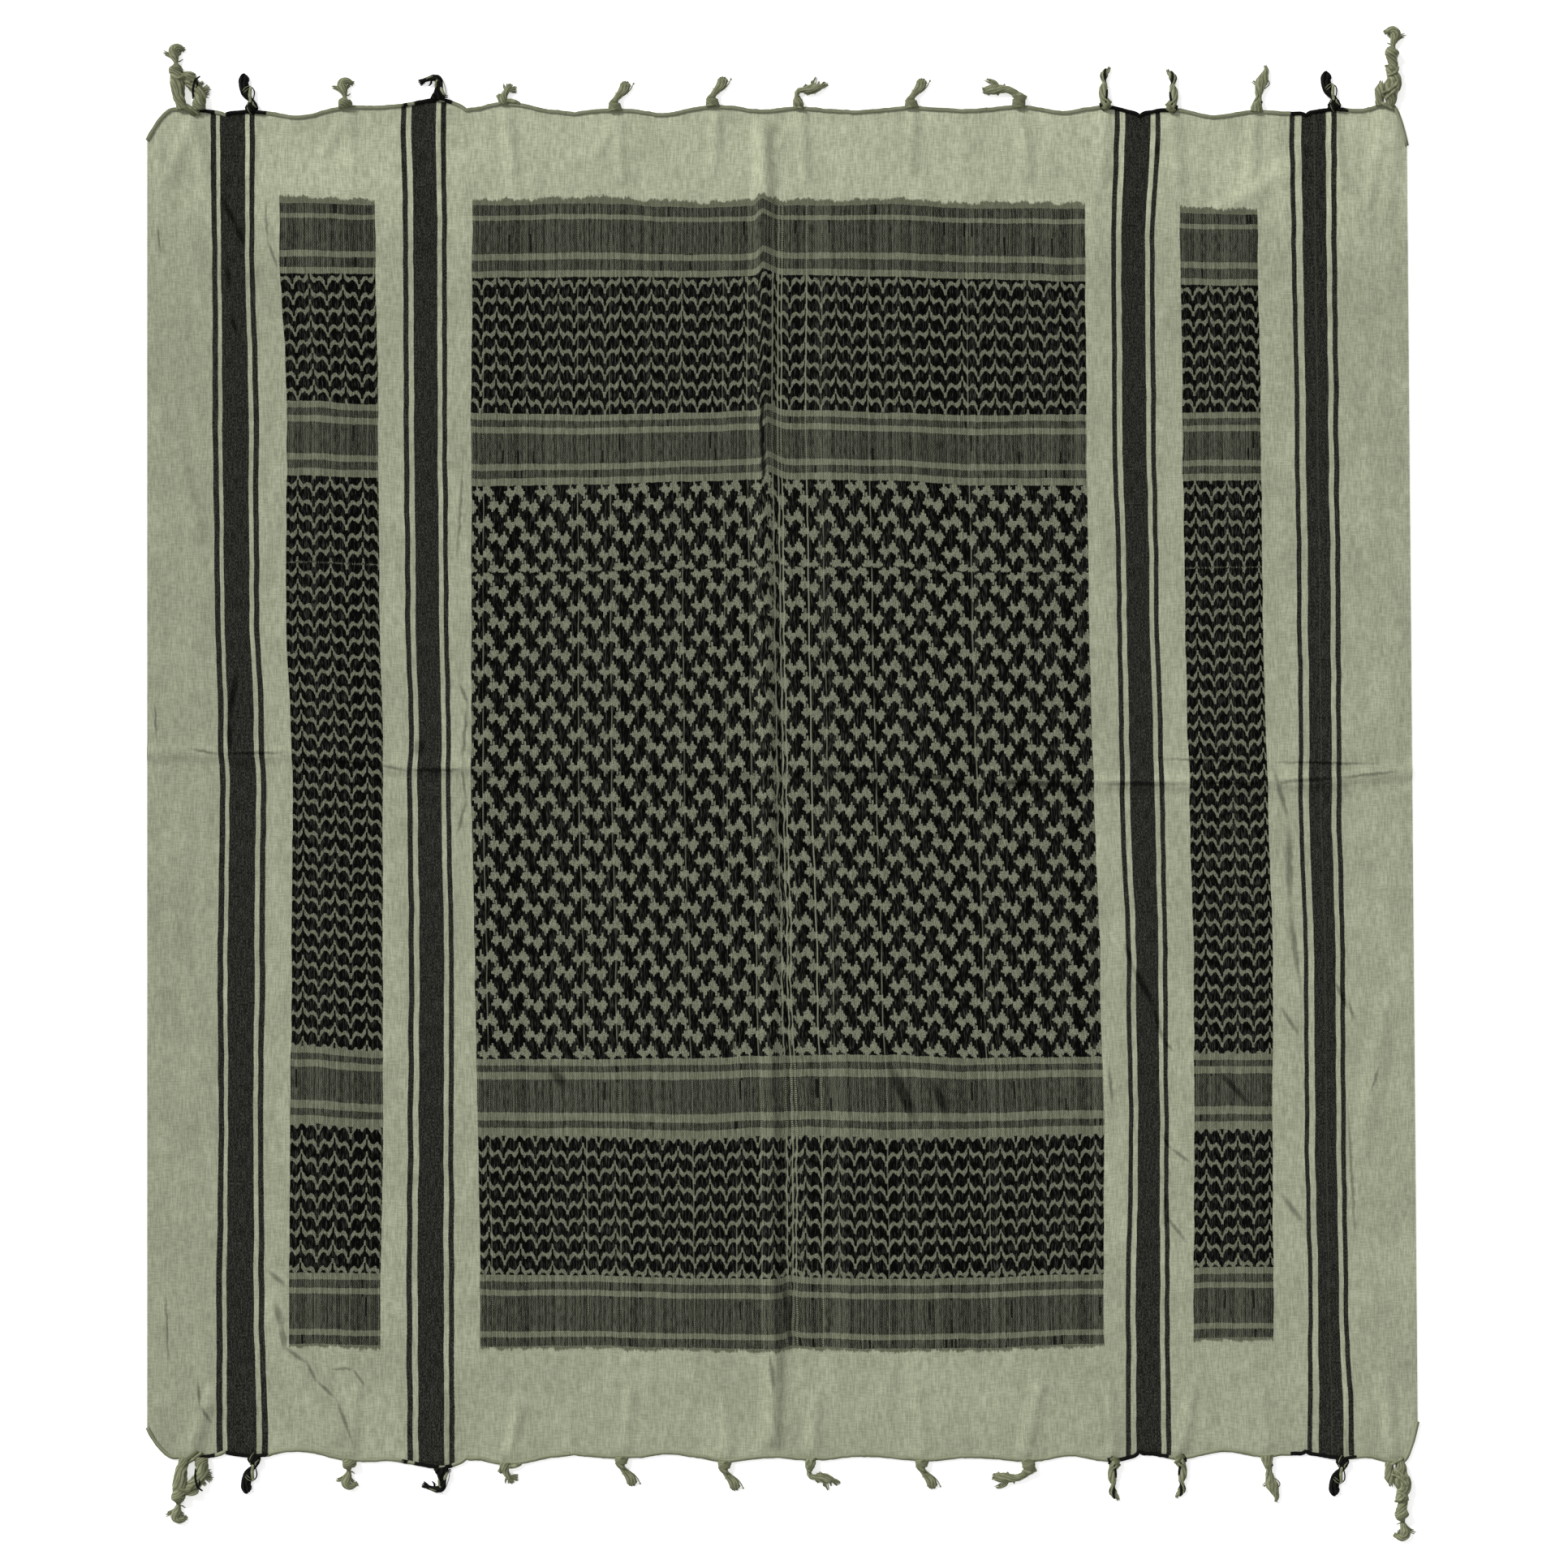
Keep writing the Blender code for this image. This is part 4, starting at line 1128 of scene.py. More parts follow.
def hem_piece(name, side, share_from, share_to):
    """A stretch of a rolled hem: a lumpy tube along one cut end of the cloth."""
    shape = bmesh.new()
    roll = shape.loops.layers.uv.new("roll")
    left, right = edges(side)
    steps = round((right - left) * (share_to - share_from) / HEM_STEP)
    line = []
    for step in range(steps + 1):
        x = mixed(left, right, mixed(share_from, share_to, step / steps))
        line.append(cloth_edge(side, x))
    rings = []
    for step, place in enumerate(line):
        x = place.x
        run = (cloth_edge(side, x + 1.0) - cloth_edge(side, x - 1.0)).normalized()
        outward = Vector((-run.y, run.x)) * side
        swell = 1.0 + 0.16 * noise.noise(Vector((x * 0.35, side * 5.0, 0.0)))
        height = HEM_RADIUS * 0.95
        ring = []
        for corner in range(HEM_CORNERS):
            turn = 2 * math.pi * corner / HEM_CORNERS
            crease = 1.0 + 0.07 * noise.noise(Vector((x * 0.12, turn * 1.5, side * 2.0)))
            reach = HEM_RADIUS * 1.08 * swell * crease
            spot = place + outward * (reach * math.cos(turn))
            level = max(0.0, height + reach * 0.95 * math.sin(turn))
            ring.append(shape.verts.new((spot.x, spot.y, level)))
        rings.append((ring, x))
    for (first, x_from), (second, x_to) in zip(rings, rings[1:]):
        for corner in range(HEM_CORNERS):
            after = (corner + 1) % HEM_CORNERS
            face = shape.faces.new((first[corner], first[after], second[after], second[corner]))
            face.smooth = True
            spots = ((x_from, corner), (x_from, corner + 1), (x_to, corner + 1), (x_to, corner))
            for loop, (across, part) in zip(face.loops, spots):
                loop[roll].uv = (across * MM, part / HEM_CORNERS)
    for ring, x in (rings[0], rings[-1]):
        face = shape.faces.new(ring)
        for loop in face.loops:
            loop[roll].uv = (x * MM, 0.5)
    bmesh.ops.recalc_face_normals(shape, faces=shape.faces)
    return finish_mesh(name, shape, [HEM])


def roll_hems():
    """Both rolled hems, each in three stretches."""
    for side, end in ((1, "top"), (-1, "bottom")):
        for number, part in enumerate(("left", "middle", "right")):
            piece = hem_piece(f"hem_{end}_{part}", side, number / PATCHES, (number + 1) / PATCHES)
            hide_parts("hem_" + end)


roll_hems()

# Trunks of each kind of tassel, in millimetres from where its knot sits on the hem:
# across, out, half width, half height, and how far its yarns lie round it, in degrees
TRUNKS = {
    "corner_loop": (
        (
            (-6.3, -1.5, 4.2, 3.0, 30.0),
            (-6.8, 2.0, 4.2, 3.3, 40.0),
            (-7.5, 5.3, 4.4, 3.4, 35.0),
            (-8.9, 9.3, 5.1, 3.8, 25.0),
            (-9.2, 15.3, 5.4, 4.2, 30.0),
            (-9.6, 22.0, 6.2, 4.4, 45.0),
            (-10.3, 27.0, 5.6, 4.3, 60.0),
            (-11.0, 30.7, 5.8, 4.8, 70.0),
            (-11.0, 33.0, 4.8, 4.6, 72.0),
            (-11.1, 35.0, 2.7, 3.2, 65.0),
            (-11.2, 36.4, 1.8, 2.0, 55.0),
            (-11.3, 37.6, 1.9, 1.9, 25.0),
            (-11.9, 40.7, 3.1, 2.3, 15.0),
            (-13.0, 44.6, 3.9, 2.6, 20.0),
            (-12.8, 47.8, 3.8, 2.6, 22.0),
            (-10.6, 49.6, 3.0, 2.4, 20.0),
            (-7.8, 49.2, 2.4, 2.0, 16.0),
            (-5.6, 48.0, 1.7, 1.5, 12.0),
        ),
        (
            (8.0, -2.0, 5.2, 3.2, 50.0),
            (7.8, 2.0, 5.6, 3.8, 60.0),
            (8.7, 7.3, 4.9, 3.7, 30.0),
            (7.6, 12.5, 4.8, 3.8, 25.0),
            (4.0, 18.0, 5.2, 3.9, 35.0),
            (-0.7, 23.0, 5.4, 4.0, 40.0),
            (-6.0, 26.2, 3.6, 3.8, 40.0),
        ),
    ),
    "leaf": (
        (
            (-1.0, -1.5, 4.8, 2.6, 55.0),
            (-0.3, 2.6, 5.1, 3.3, 60.0),
            (-0.4, 5.8, 3.7, 3.0, 50.0),
            (-1.0, 8.0, 2.3, 2.4, 35.0),
            (-3.6, 10.8, 2.7, 2.0, 20.0),
            (-5.3, 14.0, 3.5, 1.9, 15.0),
            (-6.2, 17.6, 4.1, 1.8, 10.0),
            (-6.9, 21.0, 4.1, 1.7, 8.0),
            (-6.9, 24.3, 4.4, 1.6, 8.0),
            (-5.7, 27.0, 4.2, 1.5, 10.0),
            (-4.4, 28.4, 2.6, 1.2, 10.0),
        ),
    ),
    "curl": (
        (
            (0.3, -1.5, 5.6, 3.2, 55.0),
            (-0.2, 1.4, 5.7, 4.5, 68.0),
            (-1.0, 4.0, 4.4, 4.4, 72.0),
            (-0.8, 6.0, 2.6, 3.0, 65.0),
            (-0.7, 7.4, 1.8, 2.0, 50.0),
            (-0.8, 8.6, 1.9, 1.9, 25.0),
            (-1.4, 11.7, 3.1, 2.3, 15.0),
            (-2.5, 15.6, 3.9, 2.6, 20.0),
            (-2.3, 18.8, 3.8, 2.6, 22.0),
            (-0.1, 20.6, 3.0, 2.4, 20.0),
            (2.7, 20.2, 2.4, 2.0, 16.0),
            (4.9, 19.0, 1.7, 1.5, 12.0),
        ),
    ),
    "hook": (
        (
            (-0.7, -2.0, 6.2, 2.8, 45.0),
            (0.0, 2.0, 5.2, 3.4, 40.0),
            (0.0, 5.7, 4.0, 3.2, 25.0),
            (0.1, 9.7, 3.2, 2.9, 20.0),
            (-0.3, 13.5, 3.2, 2.6, 20.0),
            (-2.4, 16.0, 3.0, 2.4, 20.0),
            (-6.7, 15.7, 2.2, 2.1, 25.0),
            (-11.5, 14.3, 1.8, 1.8, 25.0),
            (-14.7, 12.8, 1.5, 1.3, 20.0),
        ),
    ),
    "sprig": (
        (
            (-1.3, -2.0, 4.0, 2.5, 50.0),
            (-1.2, 2.0, 3.4, 2.8, 45.0),
            (-0.4, 5.5, 2.8, 2.5, 25.0),
            (1.2, 8.6, 2.5, 2.2, 15.0),
            (2.6, 11.2, 2.0, 1.7, 10.0),
        ),
    ),
    "brush": (
        (
            (-2.3, -1.5, 5.4, 2.8, 70.0),
            (-3.0, 2.6, 5.0, 3.2, 74.0),
            (-3.2, 5.0, 3.9, 2.9, 74.0),
            (-2.4, 7.2, 2.6, 2.4, 50.0),
            (-0.5, 9.9, 2.7, 2.0, 12.0),
            (2.0, 13.0, 3.3, 1.8, 6.0),
            (4.5, 16.2, 3.9, 1.7, 4.0),
            (5.6, 19.4, 4.1, 1.5, 4.0),
            (5.8, 21.0, 3.6, 1.2, 4.0),
        ),
    ),
    "egg": (
        (
            (-0.5, -1.5, 4.0, 2.6, 30.0),
            (-1.2, 2.6, 4.3, 3.4, 25.0),
            (-2.0, 6.2, 3.5, 3.0, 30.0),
            (-2.3, 8.5, 1.9, 2.1, 40.0),
            (-1.8, 11.2, 2.0, 2.0, 25.0),
            (-0.2, 13.4, 2.2, 2.1, 20.0),
            (3.5, 13.8, 2.4, 2.1, 20.0),
            (7.5, 14.0, 3.5, 2.2, 22.0),
            (11.5, 14.7, 4.0, 2.1, 18.0),
            (15.5, 15.6, 3.0, 1.8, 12.0),
            (18.6, 16.8, 1.8, 1.3, 8.0),
        ),
    ),
    "barrel": (
        (
            (-0.7, -1.5, 5.2, 3.0, 78.0),
            (-0.6, 3.0, 5.3, 3.7, 80.0),
            (-0.8, 6.0, 4.9, 3.5, 75.0),
            (-2.6, 8.4, 3.3, 3.0, 40.0),
            (-5.0, 10.6, 2.9, 2.8, 30.0),
            (-8.7, 12.4, 2.8, 2.6, 38.0),
            (-12.7, 13.2, 3.1, 2.5, 30.0),
            (-17.3, 13.0, 3.7, 2.4, 15.0),
            (-23.5, 12.6, 3.8, 2.1, 10.0),
            (-28.3, 12.4, 2.8, 1.6, 8.0),
        ),
    ),
    "twist": (
        (
            (0.7, -2.0, 4.6, 2.8, 50.0),
            (0.3, 2.0, 4.3, 3.2, 45.0),
            (-1.0, 4.7, 3.2, 3.0, 28.0),
            (-1.6, 7.3, 3.1, 2.7, 22.0),
            (-1.6, 10.3, 3.5, 2.6, 22.0),
            (-1.1, 13.3, 3.3, 2.5, 22.0),
            (-0.5, 16.7, 2.6, 2.3, 28.0),
            (-0.6, 19.3, 1.8, 2.0, 30.0),
            (-0.9, 22.0, 2.6, 2.1, 24.0),
            (-0.3, 24.9, 3.0, 2.0, 18.0),
            (0.6, 28.0, 2.2, 1.6, 14.0),
            (1.2, 30.0, 1.2, 1.1, 12.0),
        ),
    ),
    "cone": (
        (
            (0.3, -1.5, 5.1, 2.7, 25.0),
            (1.0, 3.5, 4.2, 3.0, 22.0),
            (2.0, 7.0, 3.2, 2.9, 35.0),
            (2.3, 10.3, 2.3, 2.3, 25.0),
            (2.4, 13.3, 2.9, 2.4, 18.0),
            (3.0, 17.0, 3.7, 2.5, 16.0),
            (3.8, 21.0, 4.6, 2.5, 22.0),
            (5.6, 25.0, 4.5, 2.4, 28.0),
            (7.3, 29.0, 3.2, 2.2, 24.0),
            (8.5, 33.0, 2.0, 1.8, 18.0),
            (7.9, 36.4, 0.9, 1.0, 12.0),
        ),
    ),
    "corner_braid": (
        (
            (3.2, -2.0, 3.2, 2.6, 35.0),
            (5.0, 2.4, 4.4, 3.4, 35.0),
            (4.4, 7.0, 5.6, 4.0, 30.0),
            (5.4, 12.2, 6.6, 4.2, 25.0),
            (6.8, 17.0, 6.6, 4.2, 30.0),
            (7.0, 21.0, 5.6, 4.0, 35.0),
            (5.6, 24.4, 4.7, 3.8, 45.0),
            (5.7, 28.6, 5.2, 4.1, 50.0),
            (6.4, 32.2, 4.0, 3.5, 55.0),
            (5.6, 37.0, 4.4, 4.0, 60.0),
            (5.5, 41.2, 5.9, 4.9, 70.0),
            (5.8, 44.2, 4.6, 4.4, 72.0),
            (6.4, 46.0, 2.4, 2.8, 65.0),
            (6.7, 47.2, 1.8, 2.0, 50.0),
            (6.8, 48.6, 1.9, 1.9, 25.0),
            (7.4, 51.7, 3.1, 2.3, 15.0),
            (8.5, 55.6, 3.9, 2.6, 20.0),
            (8.3, 58.8, 3.8, 2.6, 22.0),
            (6.1, 60.6, 3.0, 2.4, 20.0),
            (3.3, 60.2, 2.4, 2.0, 16.0),
            (1.1, 59.0, 1.7, 1.5, 12.0),
        ),
        (
            (-4.6, -2.0, 3.0, 2.6, 35.0),
            (-4.7, 3.6, 3.6, 3.2, 30.0),
            (-4.1, 8.2, 4.6, 3.6, 40.0),
            (-3.2, 12.4, 4.4, 3.4, 40.0),
            (-1.6, 16.2, 2.8, 2.8, 30.0),
        ),
    ),
}

# The curled fringe past a ball knot: which row after the neck, then tip across and out,
# bow to the left, and yarns
CURL = (
    (0, -10.4, 8.6, -0.12, 4),
    (0, -9.6, 7.0, -0.08, 4),
    (0, 5.6, 2.0, -0.10, 1),
    (0, 2.6, 9.6, 0.06, 5),
    (0, 4.0, 8.2, 0.16, 4),
    (5, 4.4, -1.4, 0.05, 4),
    (5, 3.4, -2.8, 0.10, 4),
    (4, 3.8, -4.4, 0.16, 4),
)

# Locks: trunk, row of the trunk that the lock leaves, tip across, tip out, bow, yarns
LOCKS = {
    "corner_loop": tuple((0, 11 + lock[0]) + lock[1:] for lock in CURL)
    + (
        (1, 3, 7.6, 6.0, -0.10, 5),
        (1, 3, 9.4, 3.6, 0.0, 6),
        (1, 3, 8.6, -0.6, 0.10, 6),
        (1, 2, 6.6, 2.0, 0.10, 4),
        (1, 4, 7.4, 3.2, -0.15, 4),
        (1, 5, 6.0, 4.6, -0.20, 4),
    ),
    "leaf": (
        (0, 8, 2.6, 4.6, 0.0, 4),
        (0, 8, 0.2, 4.4, 0.0, 4),
        (0, 8, -2.8, 3.4, 0.05, 3),
    ),
    "curl": tuple((0, 5 + lock[0]) + lock[1:] for lock in CURL),
    "hook": (
        (0, 7, -5.6, -0.6, 0.0, 4),
        (0, 7, -4.4, -3.4, 0.1, 4),
        (0, 6, -1.9, -6.6, 0.2, 2),
        (0, 2, 7.0, -5.6, -0.15, 4),
    ),
    "sprig": (
        (0, 3, -2.0, 6.6, 0.05, 2),
        (0, 4, 0.6, 4.0, 0.02, 5),
        (0, 4, 3.0, 3.6, 0.0, 5),
        (0, 4, 7.4, 0.6, -0.05, 4),
        (0, 4, 7.4, -2.6, -0.12, 4),
        (0, 3, 8.2, 2.0, -0.05, 3),
        (0, 1, -4.9, 4.3, 0.10, 5),
        (0, 1, -2.9, 4.8, 0.10, 4),
    ),
    "brush": (
        (0, 7, -2.9, 2.6, 0.05, 4),
        (0, 7, -1.0, 3.3, 0.02, 5),
        (0, 7, 1.2, 3.2, 0.0, 5),
        (0, 7, 3.0, 2.3, -0.04, 5),
        (0, 6, 5.2, 3.4, -0.08, 4),
        (0, 4, -0.6, 4.2, 0.06, 4),
    ),
    "egg": (
        (0, 8, 2.6, 10.2, 0.06, 3),
        (0, 8, -1.4, 7.4, 0.05, 3),
        (0, 9, 0.6, 5.4, 0.05, 3),
        (0, 9, 5.8, 5.0, 0.0, 4),
        (0, 9, 8.4, 3.2, -0.05, 4),
        (0, 7, 0.0, -4.6, -0.05, 4),
        (0, 6, 2.6, -3.6, -0.10, 2),
        (0, 6, 2.4, 4.6, 0.10, 3),
    ),
    "barrel": (
        (0, 7, -10.6, 8.0, -0.12, 5),
        (0, 7, -8.8, 9.2, -0.12, 4),
        (0, 8, -7.6, 0.8, 0.0, 5),
        (0, 8, -6.8, -2.4, 0.05, 5),
        (0, 8, -3.0, -4.2, 0.08, 4),
        (0, 7, -1.0, -5.0, 0.10, 3),
        (0, 6, 0.4, 4.6, 0.0, 2),
        (0, 2, 7.2, 0.6, 0.0, 5),
        (0, 2, 6.0, 1.6, 0.0, 3),
    ),
    "twist": (
        (0, 9, 4.7, 6.6, -0.05, 4),
        (0, 9, 1.9, 5.4, 0.0, 4),
        (0, 9, -1.6, 3.6, 0.1, 2),
        (0, 0, 4.6, 5.2, 0.1, 4),
    ),
    "cone": (
        (0, 9, -0.5, 4.4, 0.0, 4),
        (0, 5, -5.6, 7.6, -0.06, 4),
        (0, 5, -3.2, 7.8, -0.04, 4),
        (0, 6, -4.0, 3.6, 0.0, 3),
    ),
    "corner_braid": tuple((0, 14 + row, -x, out, -bow, yarns) for row, x, out, bow, yarns in CURL)
    + (
        (1, 3, 0.6, 6.6, 0.1, 4),
        (1, 3, -2.8, 2.4, 0.0, 5),
        (1, 2, -3.4, 4.4, 0.0, 5),
        (1, 2, -3.4, -0.6, 0.0, 5),
        (0, 3, 6.6, 5.6, -0.15, 5),
        (0, 4, 5.8, -4.6, 0.15, 5),
        (0, 3, 4.4, -5.6, 0.1, 4),
    ),
}

# Single yarns that show on a tassel: black or not, radius, then places across, out and up
YARNS_ON_TOP = {
    "corner_loop": (
        (
            True,
            0.9,
            ((8.7, 25.3, 4.0), (5.4, 22.0, 7.6), (4.2, 18.5, 7.9), (3.2, 13.0, 7.0), (3.2, 7.0, 4.0)),
        ),
        (True, 0.7, ((5.0, 21.5, 7.7), (7.0, 19.8, 7.4), (6.4, 15.5, 7.2))),
        (False, 1.7, ((-10.0, 1.6, 2.4), (-5.0, 0.4, 4.6), (0.0, -3.2, 4.4), (4.8, -6.4, 2.6))),
        (False, 1.5, ((-4.0, 3.0, 3.4), (1.0, -0.4, 4.8), (6.4, -4.2, 4.2), (8.0, -5.6, 2.4))),
        (False, 1.3, ((-2.4, 28.6, 5.4), (2.4, 27.6, 6.2), (5.0, 26.4, 4.6))),
        (False, 1.2, ((-13.6, 25.0, 5.4), (-9.0, 23.0, 8.6), (-3.0, 25.0, 8.0), (2.0, 20.0, 8.0))),
    ),
    "leaf": (
        (False, 1.35, ((-1.0, 5.6, 5.4), (-1.6, 10.5, 4.6), (-1.5, 15.0, 4.2), (-0.9, 18.6, 2.6))),
        (False, 0.35, ((-8.4, 14.6, 3.0), (-6.0, 17.6, 3.7), (-3.4, 19.2, 3.4), (-1.6, 19.4, 2.4))),
        (False, 0.30, ((-7.4, 13.6, 3.1), (-4.6, 16.0, 3.9), (-2.0, 18.2, 3.0))),
        (
            True,
            0.55,
            ((-2.0, 19.4, 2.6), (0.8, 17.6, 2.4), (1.8, 14.6, 2.0), (1.4, 10.6, 2.4), (0.4, 7.2, 3.4)),
        ),
        (False, 0.50, ((-2.6, 6.0, 5.0), (-3.6, 2.4, 5.4), (-2.6, -1.0, 5.0), (-0.6, -3.4, 3.0))),
        (False, 0.80, ((0.8, 6.2, 5.0), (1.4, 3.8, 6.0), (3.6, 1.6, 4.8))),
        (True, 1.3, ((2.0, -1.4, 3.0), (6.4, -2.0, 3.4), (11.2, -2.6, 2.0))),
    ),
    "hook": (
        (False, 2.1, ((1.2, 8.6, 3.6), (2.3, 5.0, 4.4), (2.9, 1.8, 4.4), (3.2, -0.8, 3.4))),
        (False, 1.2, ((-2.4, 7.0, 4.4), (-2.2, 11.0, 4.4), (-0.6, 15.0, 3.8))),
        (False, 0.7, ((-10.4, 14.9, 3.4), (-7.6, 16.2, 3.9), (-4.6, 17.0, 4.0))),
        (False, 0.3, ((2.6, 15.6, 2.6), (4.8, 9.6, 2.0), (5.8, 5.0, 1.6), (6.2, 1.4, 1.4))),
        (False, 0.3, ((-3.0, 6.0, 2.6), (-4.8, 3.0, 2.2), (-6.8, -0.2, 2.6))),
    ),
    "sprig": (
        (False, 1.9, ((0.0, 0.2, 2.6), (4.0, 0.8, 2.6), (8.0, 0.2, 2.4), (12.4, -1.6, 1.9))),
        (False, 1.2, ((-5.4, 5.6, 1.6), (-4.6, 2.0, 3.0), (-2.0, -1.4, 3.6))),
    ),
    "brush": (
        (False, 1.5, ((-7.2, 4.0, 2.0), (-4.4, 5.4, 4.8), (-1.6, 7.4, 4.4), (0.6, 9.0, 2.4))),
        (False, 0.45, ((4.4, 10.6, 2.0), (8.2, 14.0, 1.4), (10.8, 17.4, 1.1), (12.6, 21.2, 0.8))),
        (False, 0.75, ((12.2, 20.2, 0.9), (12.7, 21.6, 0.8))),
        (False, 1.1, ((-6.6, 0.6, 2.6), (-3.0, -0.8, 5.4), (2.6, -0.4, 2.6))),
    ),
    "egg": (
        (False, 1.1, ((-4.4, 5.4, 3.0), (-2.0, 8.6, 4.2), (0.4, 7.4, 3.0))),
        (False, 1.0, ((-3.6, 0.0, 3.6), (0.6, -1.0, 5.2), (3.4, -2.0, 3.2))),
    ),
    "barrel": (
        (False, 1.4, ((-5.6, 7.0, 3.4), (-1.6, 7.6, 6.2), (3.4, 7.2, 4.2), (5.4, 6.2, 2.4))),
        (False, 1.2, ((-6.0, 0.0, 3.0), (-2.0, -1.8, 5.4), (4.4, -0.8, 3.4))),
    ),
    "twist": (
        (False, 1.7, ((-3.0, -1.4, 3.0), (0.4, -3.0, 4.8), (4.0, -1.2, 3.6))),
        (False, 1.6, ((-0.4, -4.0, 3.0), (2.0, -0.4, 5.8), (4.6, 2.6, 3.4))),
        (True, 1.2, ((-3.8, 1.6, 3.4), (-3.0, -1.4, 3.6), (-0.8, -4.4, 2.6))),
        (True, 1.3, ((0.2, 1.2, 5.6), (0.8, 5.0, 4.6), (1.3, 9.0, 3.6), (1.6, 13.0, 2.6))),
        (True, 0.8, ((-2.6, 21.4, 2.8), (-3.2, 24.0, 2.2), (-2.6, 27.0, 2.2))),
    ),
    "cone": (
        (True, 0.8, ((1.8, 6.2, 5.4), (4.2, 6.2, 4.4), (5.2, 6.6, 2.6))),
        (False, 0.5, ((6.6, 17.0, 2.0), (9.8, 19.6, 1.6), (11.2, 22.2, 1.4), (9.8, 25.0, 2.0))),
        (False, 1.0, ((-4.0, 1.6, 2.6), (0.0, 9.0, 4.6), (1.6, 14.0, 4.4))),
    ),
    "corner_braid": (
        (False, 1.4, ((-7.0, 2.6, 3.0), (-1.6, -0.6, 5.2), (4.0, -3.2, 4.0), (6.6, -4.6, 2.4))),
        (False, 1.5, ((0.2, 30.6, 4.0), (4.4, 29.0, 8.0), (9.4, 25.0, 6.4))),
        (False, 1.3, ((2.0, 22.6, 6.4), (7.0, 24.4, 8.0), (10.6, 29.6, 5.2))),
        (False, 1.4, ((-3.4, 8.4, 7.0), (2.0, 10.0, 8.2), (7.6, 14.6, 8.2), (11.4, 19.6, 6.0))),
        (False, 1.3, ((0.6, 4.4, 6.4), (5.6, 8.6, 8.0), (10.6, 13.0, 6.6))),
    ),
}

# How many yarns each trunk shows round itself, and which of those are black
LOBES = {
    "corner_loop": (7, ()),
    "leaf": (6, (0, 1, 2, 3, 4, 5)),
    "curl": (7, ()),
    "hook": (6, (0, 1, 2, 3, 4, 5)),
    "sprig": (6, ()),
    "brush": (9, ()),
    "egg": (6, ()),
    "barrel": (8, ()),
    "twist": (5, (2,)),
    "cone": (7, ()),
    "corner_braid": (7, ()),
}

# How finely the yarns are modelled, and how thick they are in millimetres
TRUNK_SIDES = 28
TRUNK_STEP = 0.55
GROOVE_DEPTH = 0.20
LOCK_RADIUS = 0.62
LOCK_TIP_RADIUS = 0.34
LOCK_STEPS = 8
THICK_YARN = 0.6
HAIR_RADIUS = 0.09
HAIR_TIP = 0.05
HAIRS = 30


def curve_through(rows, share):
    """A smooth curve through rows of numbers; share is 0 at the first row and 1 at the last."""
    last = len(rows) - 1
    step = min(int(share * last), last - 1)
    part = share * last - step
    before, start, end, after = (rows[min(max(step + shift, 0), last)] for shift in (-1, 0, 1, 2))
    values = []
    for a, b, c, d in zip(before, start, end, after):
        slope = c - a
        bend = 2 * a - 5 * b + 4 * c - d
        turn = 3 * (b - c) + d - a
        values.append(b + 0.5 * part * (slope + part * (bend + part * turn)))
    return values


def skin(shape, yarn, rings, shares, lengths, slot_of):
    """Joins rings of vertices into a closed skin; shares are each ring's places round it.

    Slot_of turns such a place into the number of the material: 0 is green, 1 is black.
    """
    count = len(rings[0])
    for number in range(len(rings) - 1):
        for corner in range(count):
            after = (corner + 1) % count
            ring, upper = rings[number], rings[number + 1]
            face = shape.faces.new((ring[corner], ring[after], upper[after], upper[corner]))
            face.smooth = True
            face.material_index = slot_of(shares[number][corner])
            spots = (
                (shares[number][corner], lengths[number]),
                (shares[number][corner + 1], lengths[number]),
                (shares[number + 1][corner + 1], lengths[number + 1]),
                (shares[number + 1][corner], lengths[number + 1]),
            )
            for loop, spot in zip(face.loops, spots):
                loop[yarn].uv = spot
    for number in (0, len(rings) - 1):
        face = shape.faces.new(rings[number])
        face.smooth = True
        face.material_index = slot_of(shares[number][0])
        for loop, share in zip(face.loops, shares[number]):
            loop[yarn].uv = (share, lengths[number])


def wind_trunk(shape, yarn, rows, lobes, blacks):
    """A bundle of yarns wound round one another: a closed skin, grooved between the yarns."""
    ends = [Vector(row[:2]) for row in rows]
    length = sum((after - before).length for before, after in zip(ends, ends[1:]))
    steps = int(length / TRUNK_STEP)
    rings, shares, lengths = [], [], []
    wound = 0.0
    for step in range(steps + 1):
        across, out, wide, high, lay = curve_through(rows, step / steps)
        before = Vector(curve_through(rows, max(0.0, step / steps - 0.01))[:2])
        after = Vector(curve_through(rows, min(1.0, step / steps + 0.01))[:2])
        run = (after - before).normalized()
        beside = Vector((run.y, -run.x))
        turned = math.tan(math.radians(lay)) * (length / steps) / max(wide, 1.0)
        wound += turned * lobes / (2 * math.pi)
        ring, places = [], []
        for corner in range(TRUNK_SIDES + 1):
            turn = 2 * math.pi * corner / TRUNK_SIDES
            spot = Vector((math.cos(turn) * 0.9, math.sin(turn) * 0.9, step * 0.05 + lobes))
            phase = lobes * corner / TRUNK_SIDES - wound + 0.45 * noise.noise(spot)
            places.append(phase + 0.5)
            if corner == TRUNK_SIDES:
                break
            groove = 1.0 - abs(math.cos(math.pi * phase))
            lump = 0.10 * noise.noise(Vector((across * 0.3 + lobes, out * 0.3, turn * 0.5)))
            swell = 1.05 - GROOVE_DEPTH * groove ** 1.6 + lump
            reach = beside * (wide * swell * math.cos(turn))
            height = max(0.05, high * (1.0 + swell * math.sin(turn)))
            ring.append(shape.verts.new((across + reach.x, out + reach.y, height)))
        rings.append(ring)
        shares.append(places)
        lengths.append(step * length / steps / 10.0)
    skin(shape, yarn, rings, shares, lengths, lambda share: int(math.floor(share) % lobes in blacks))


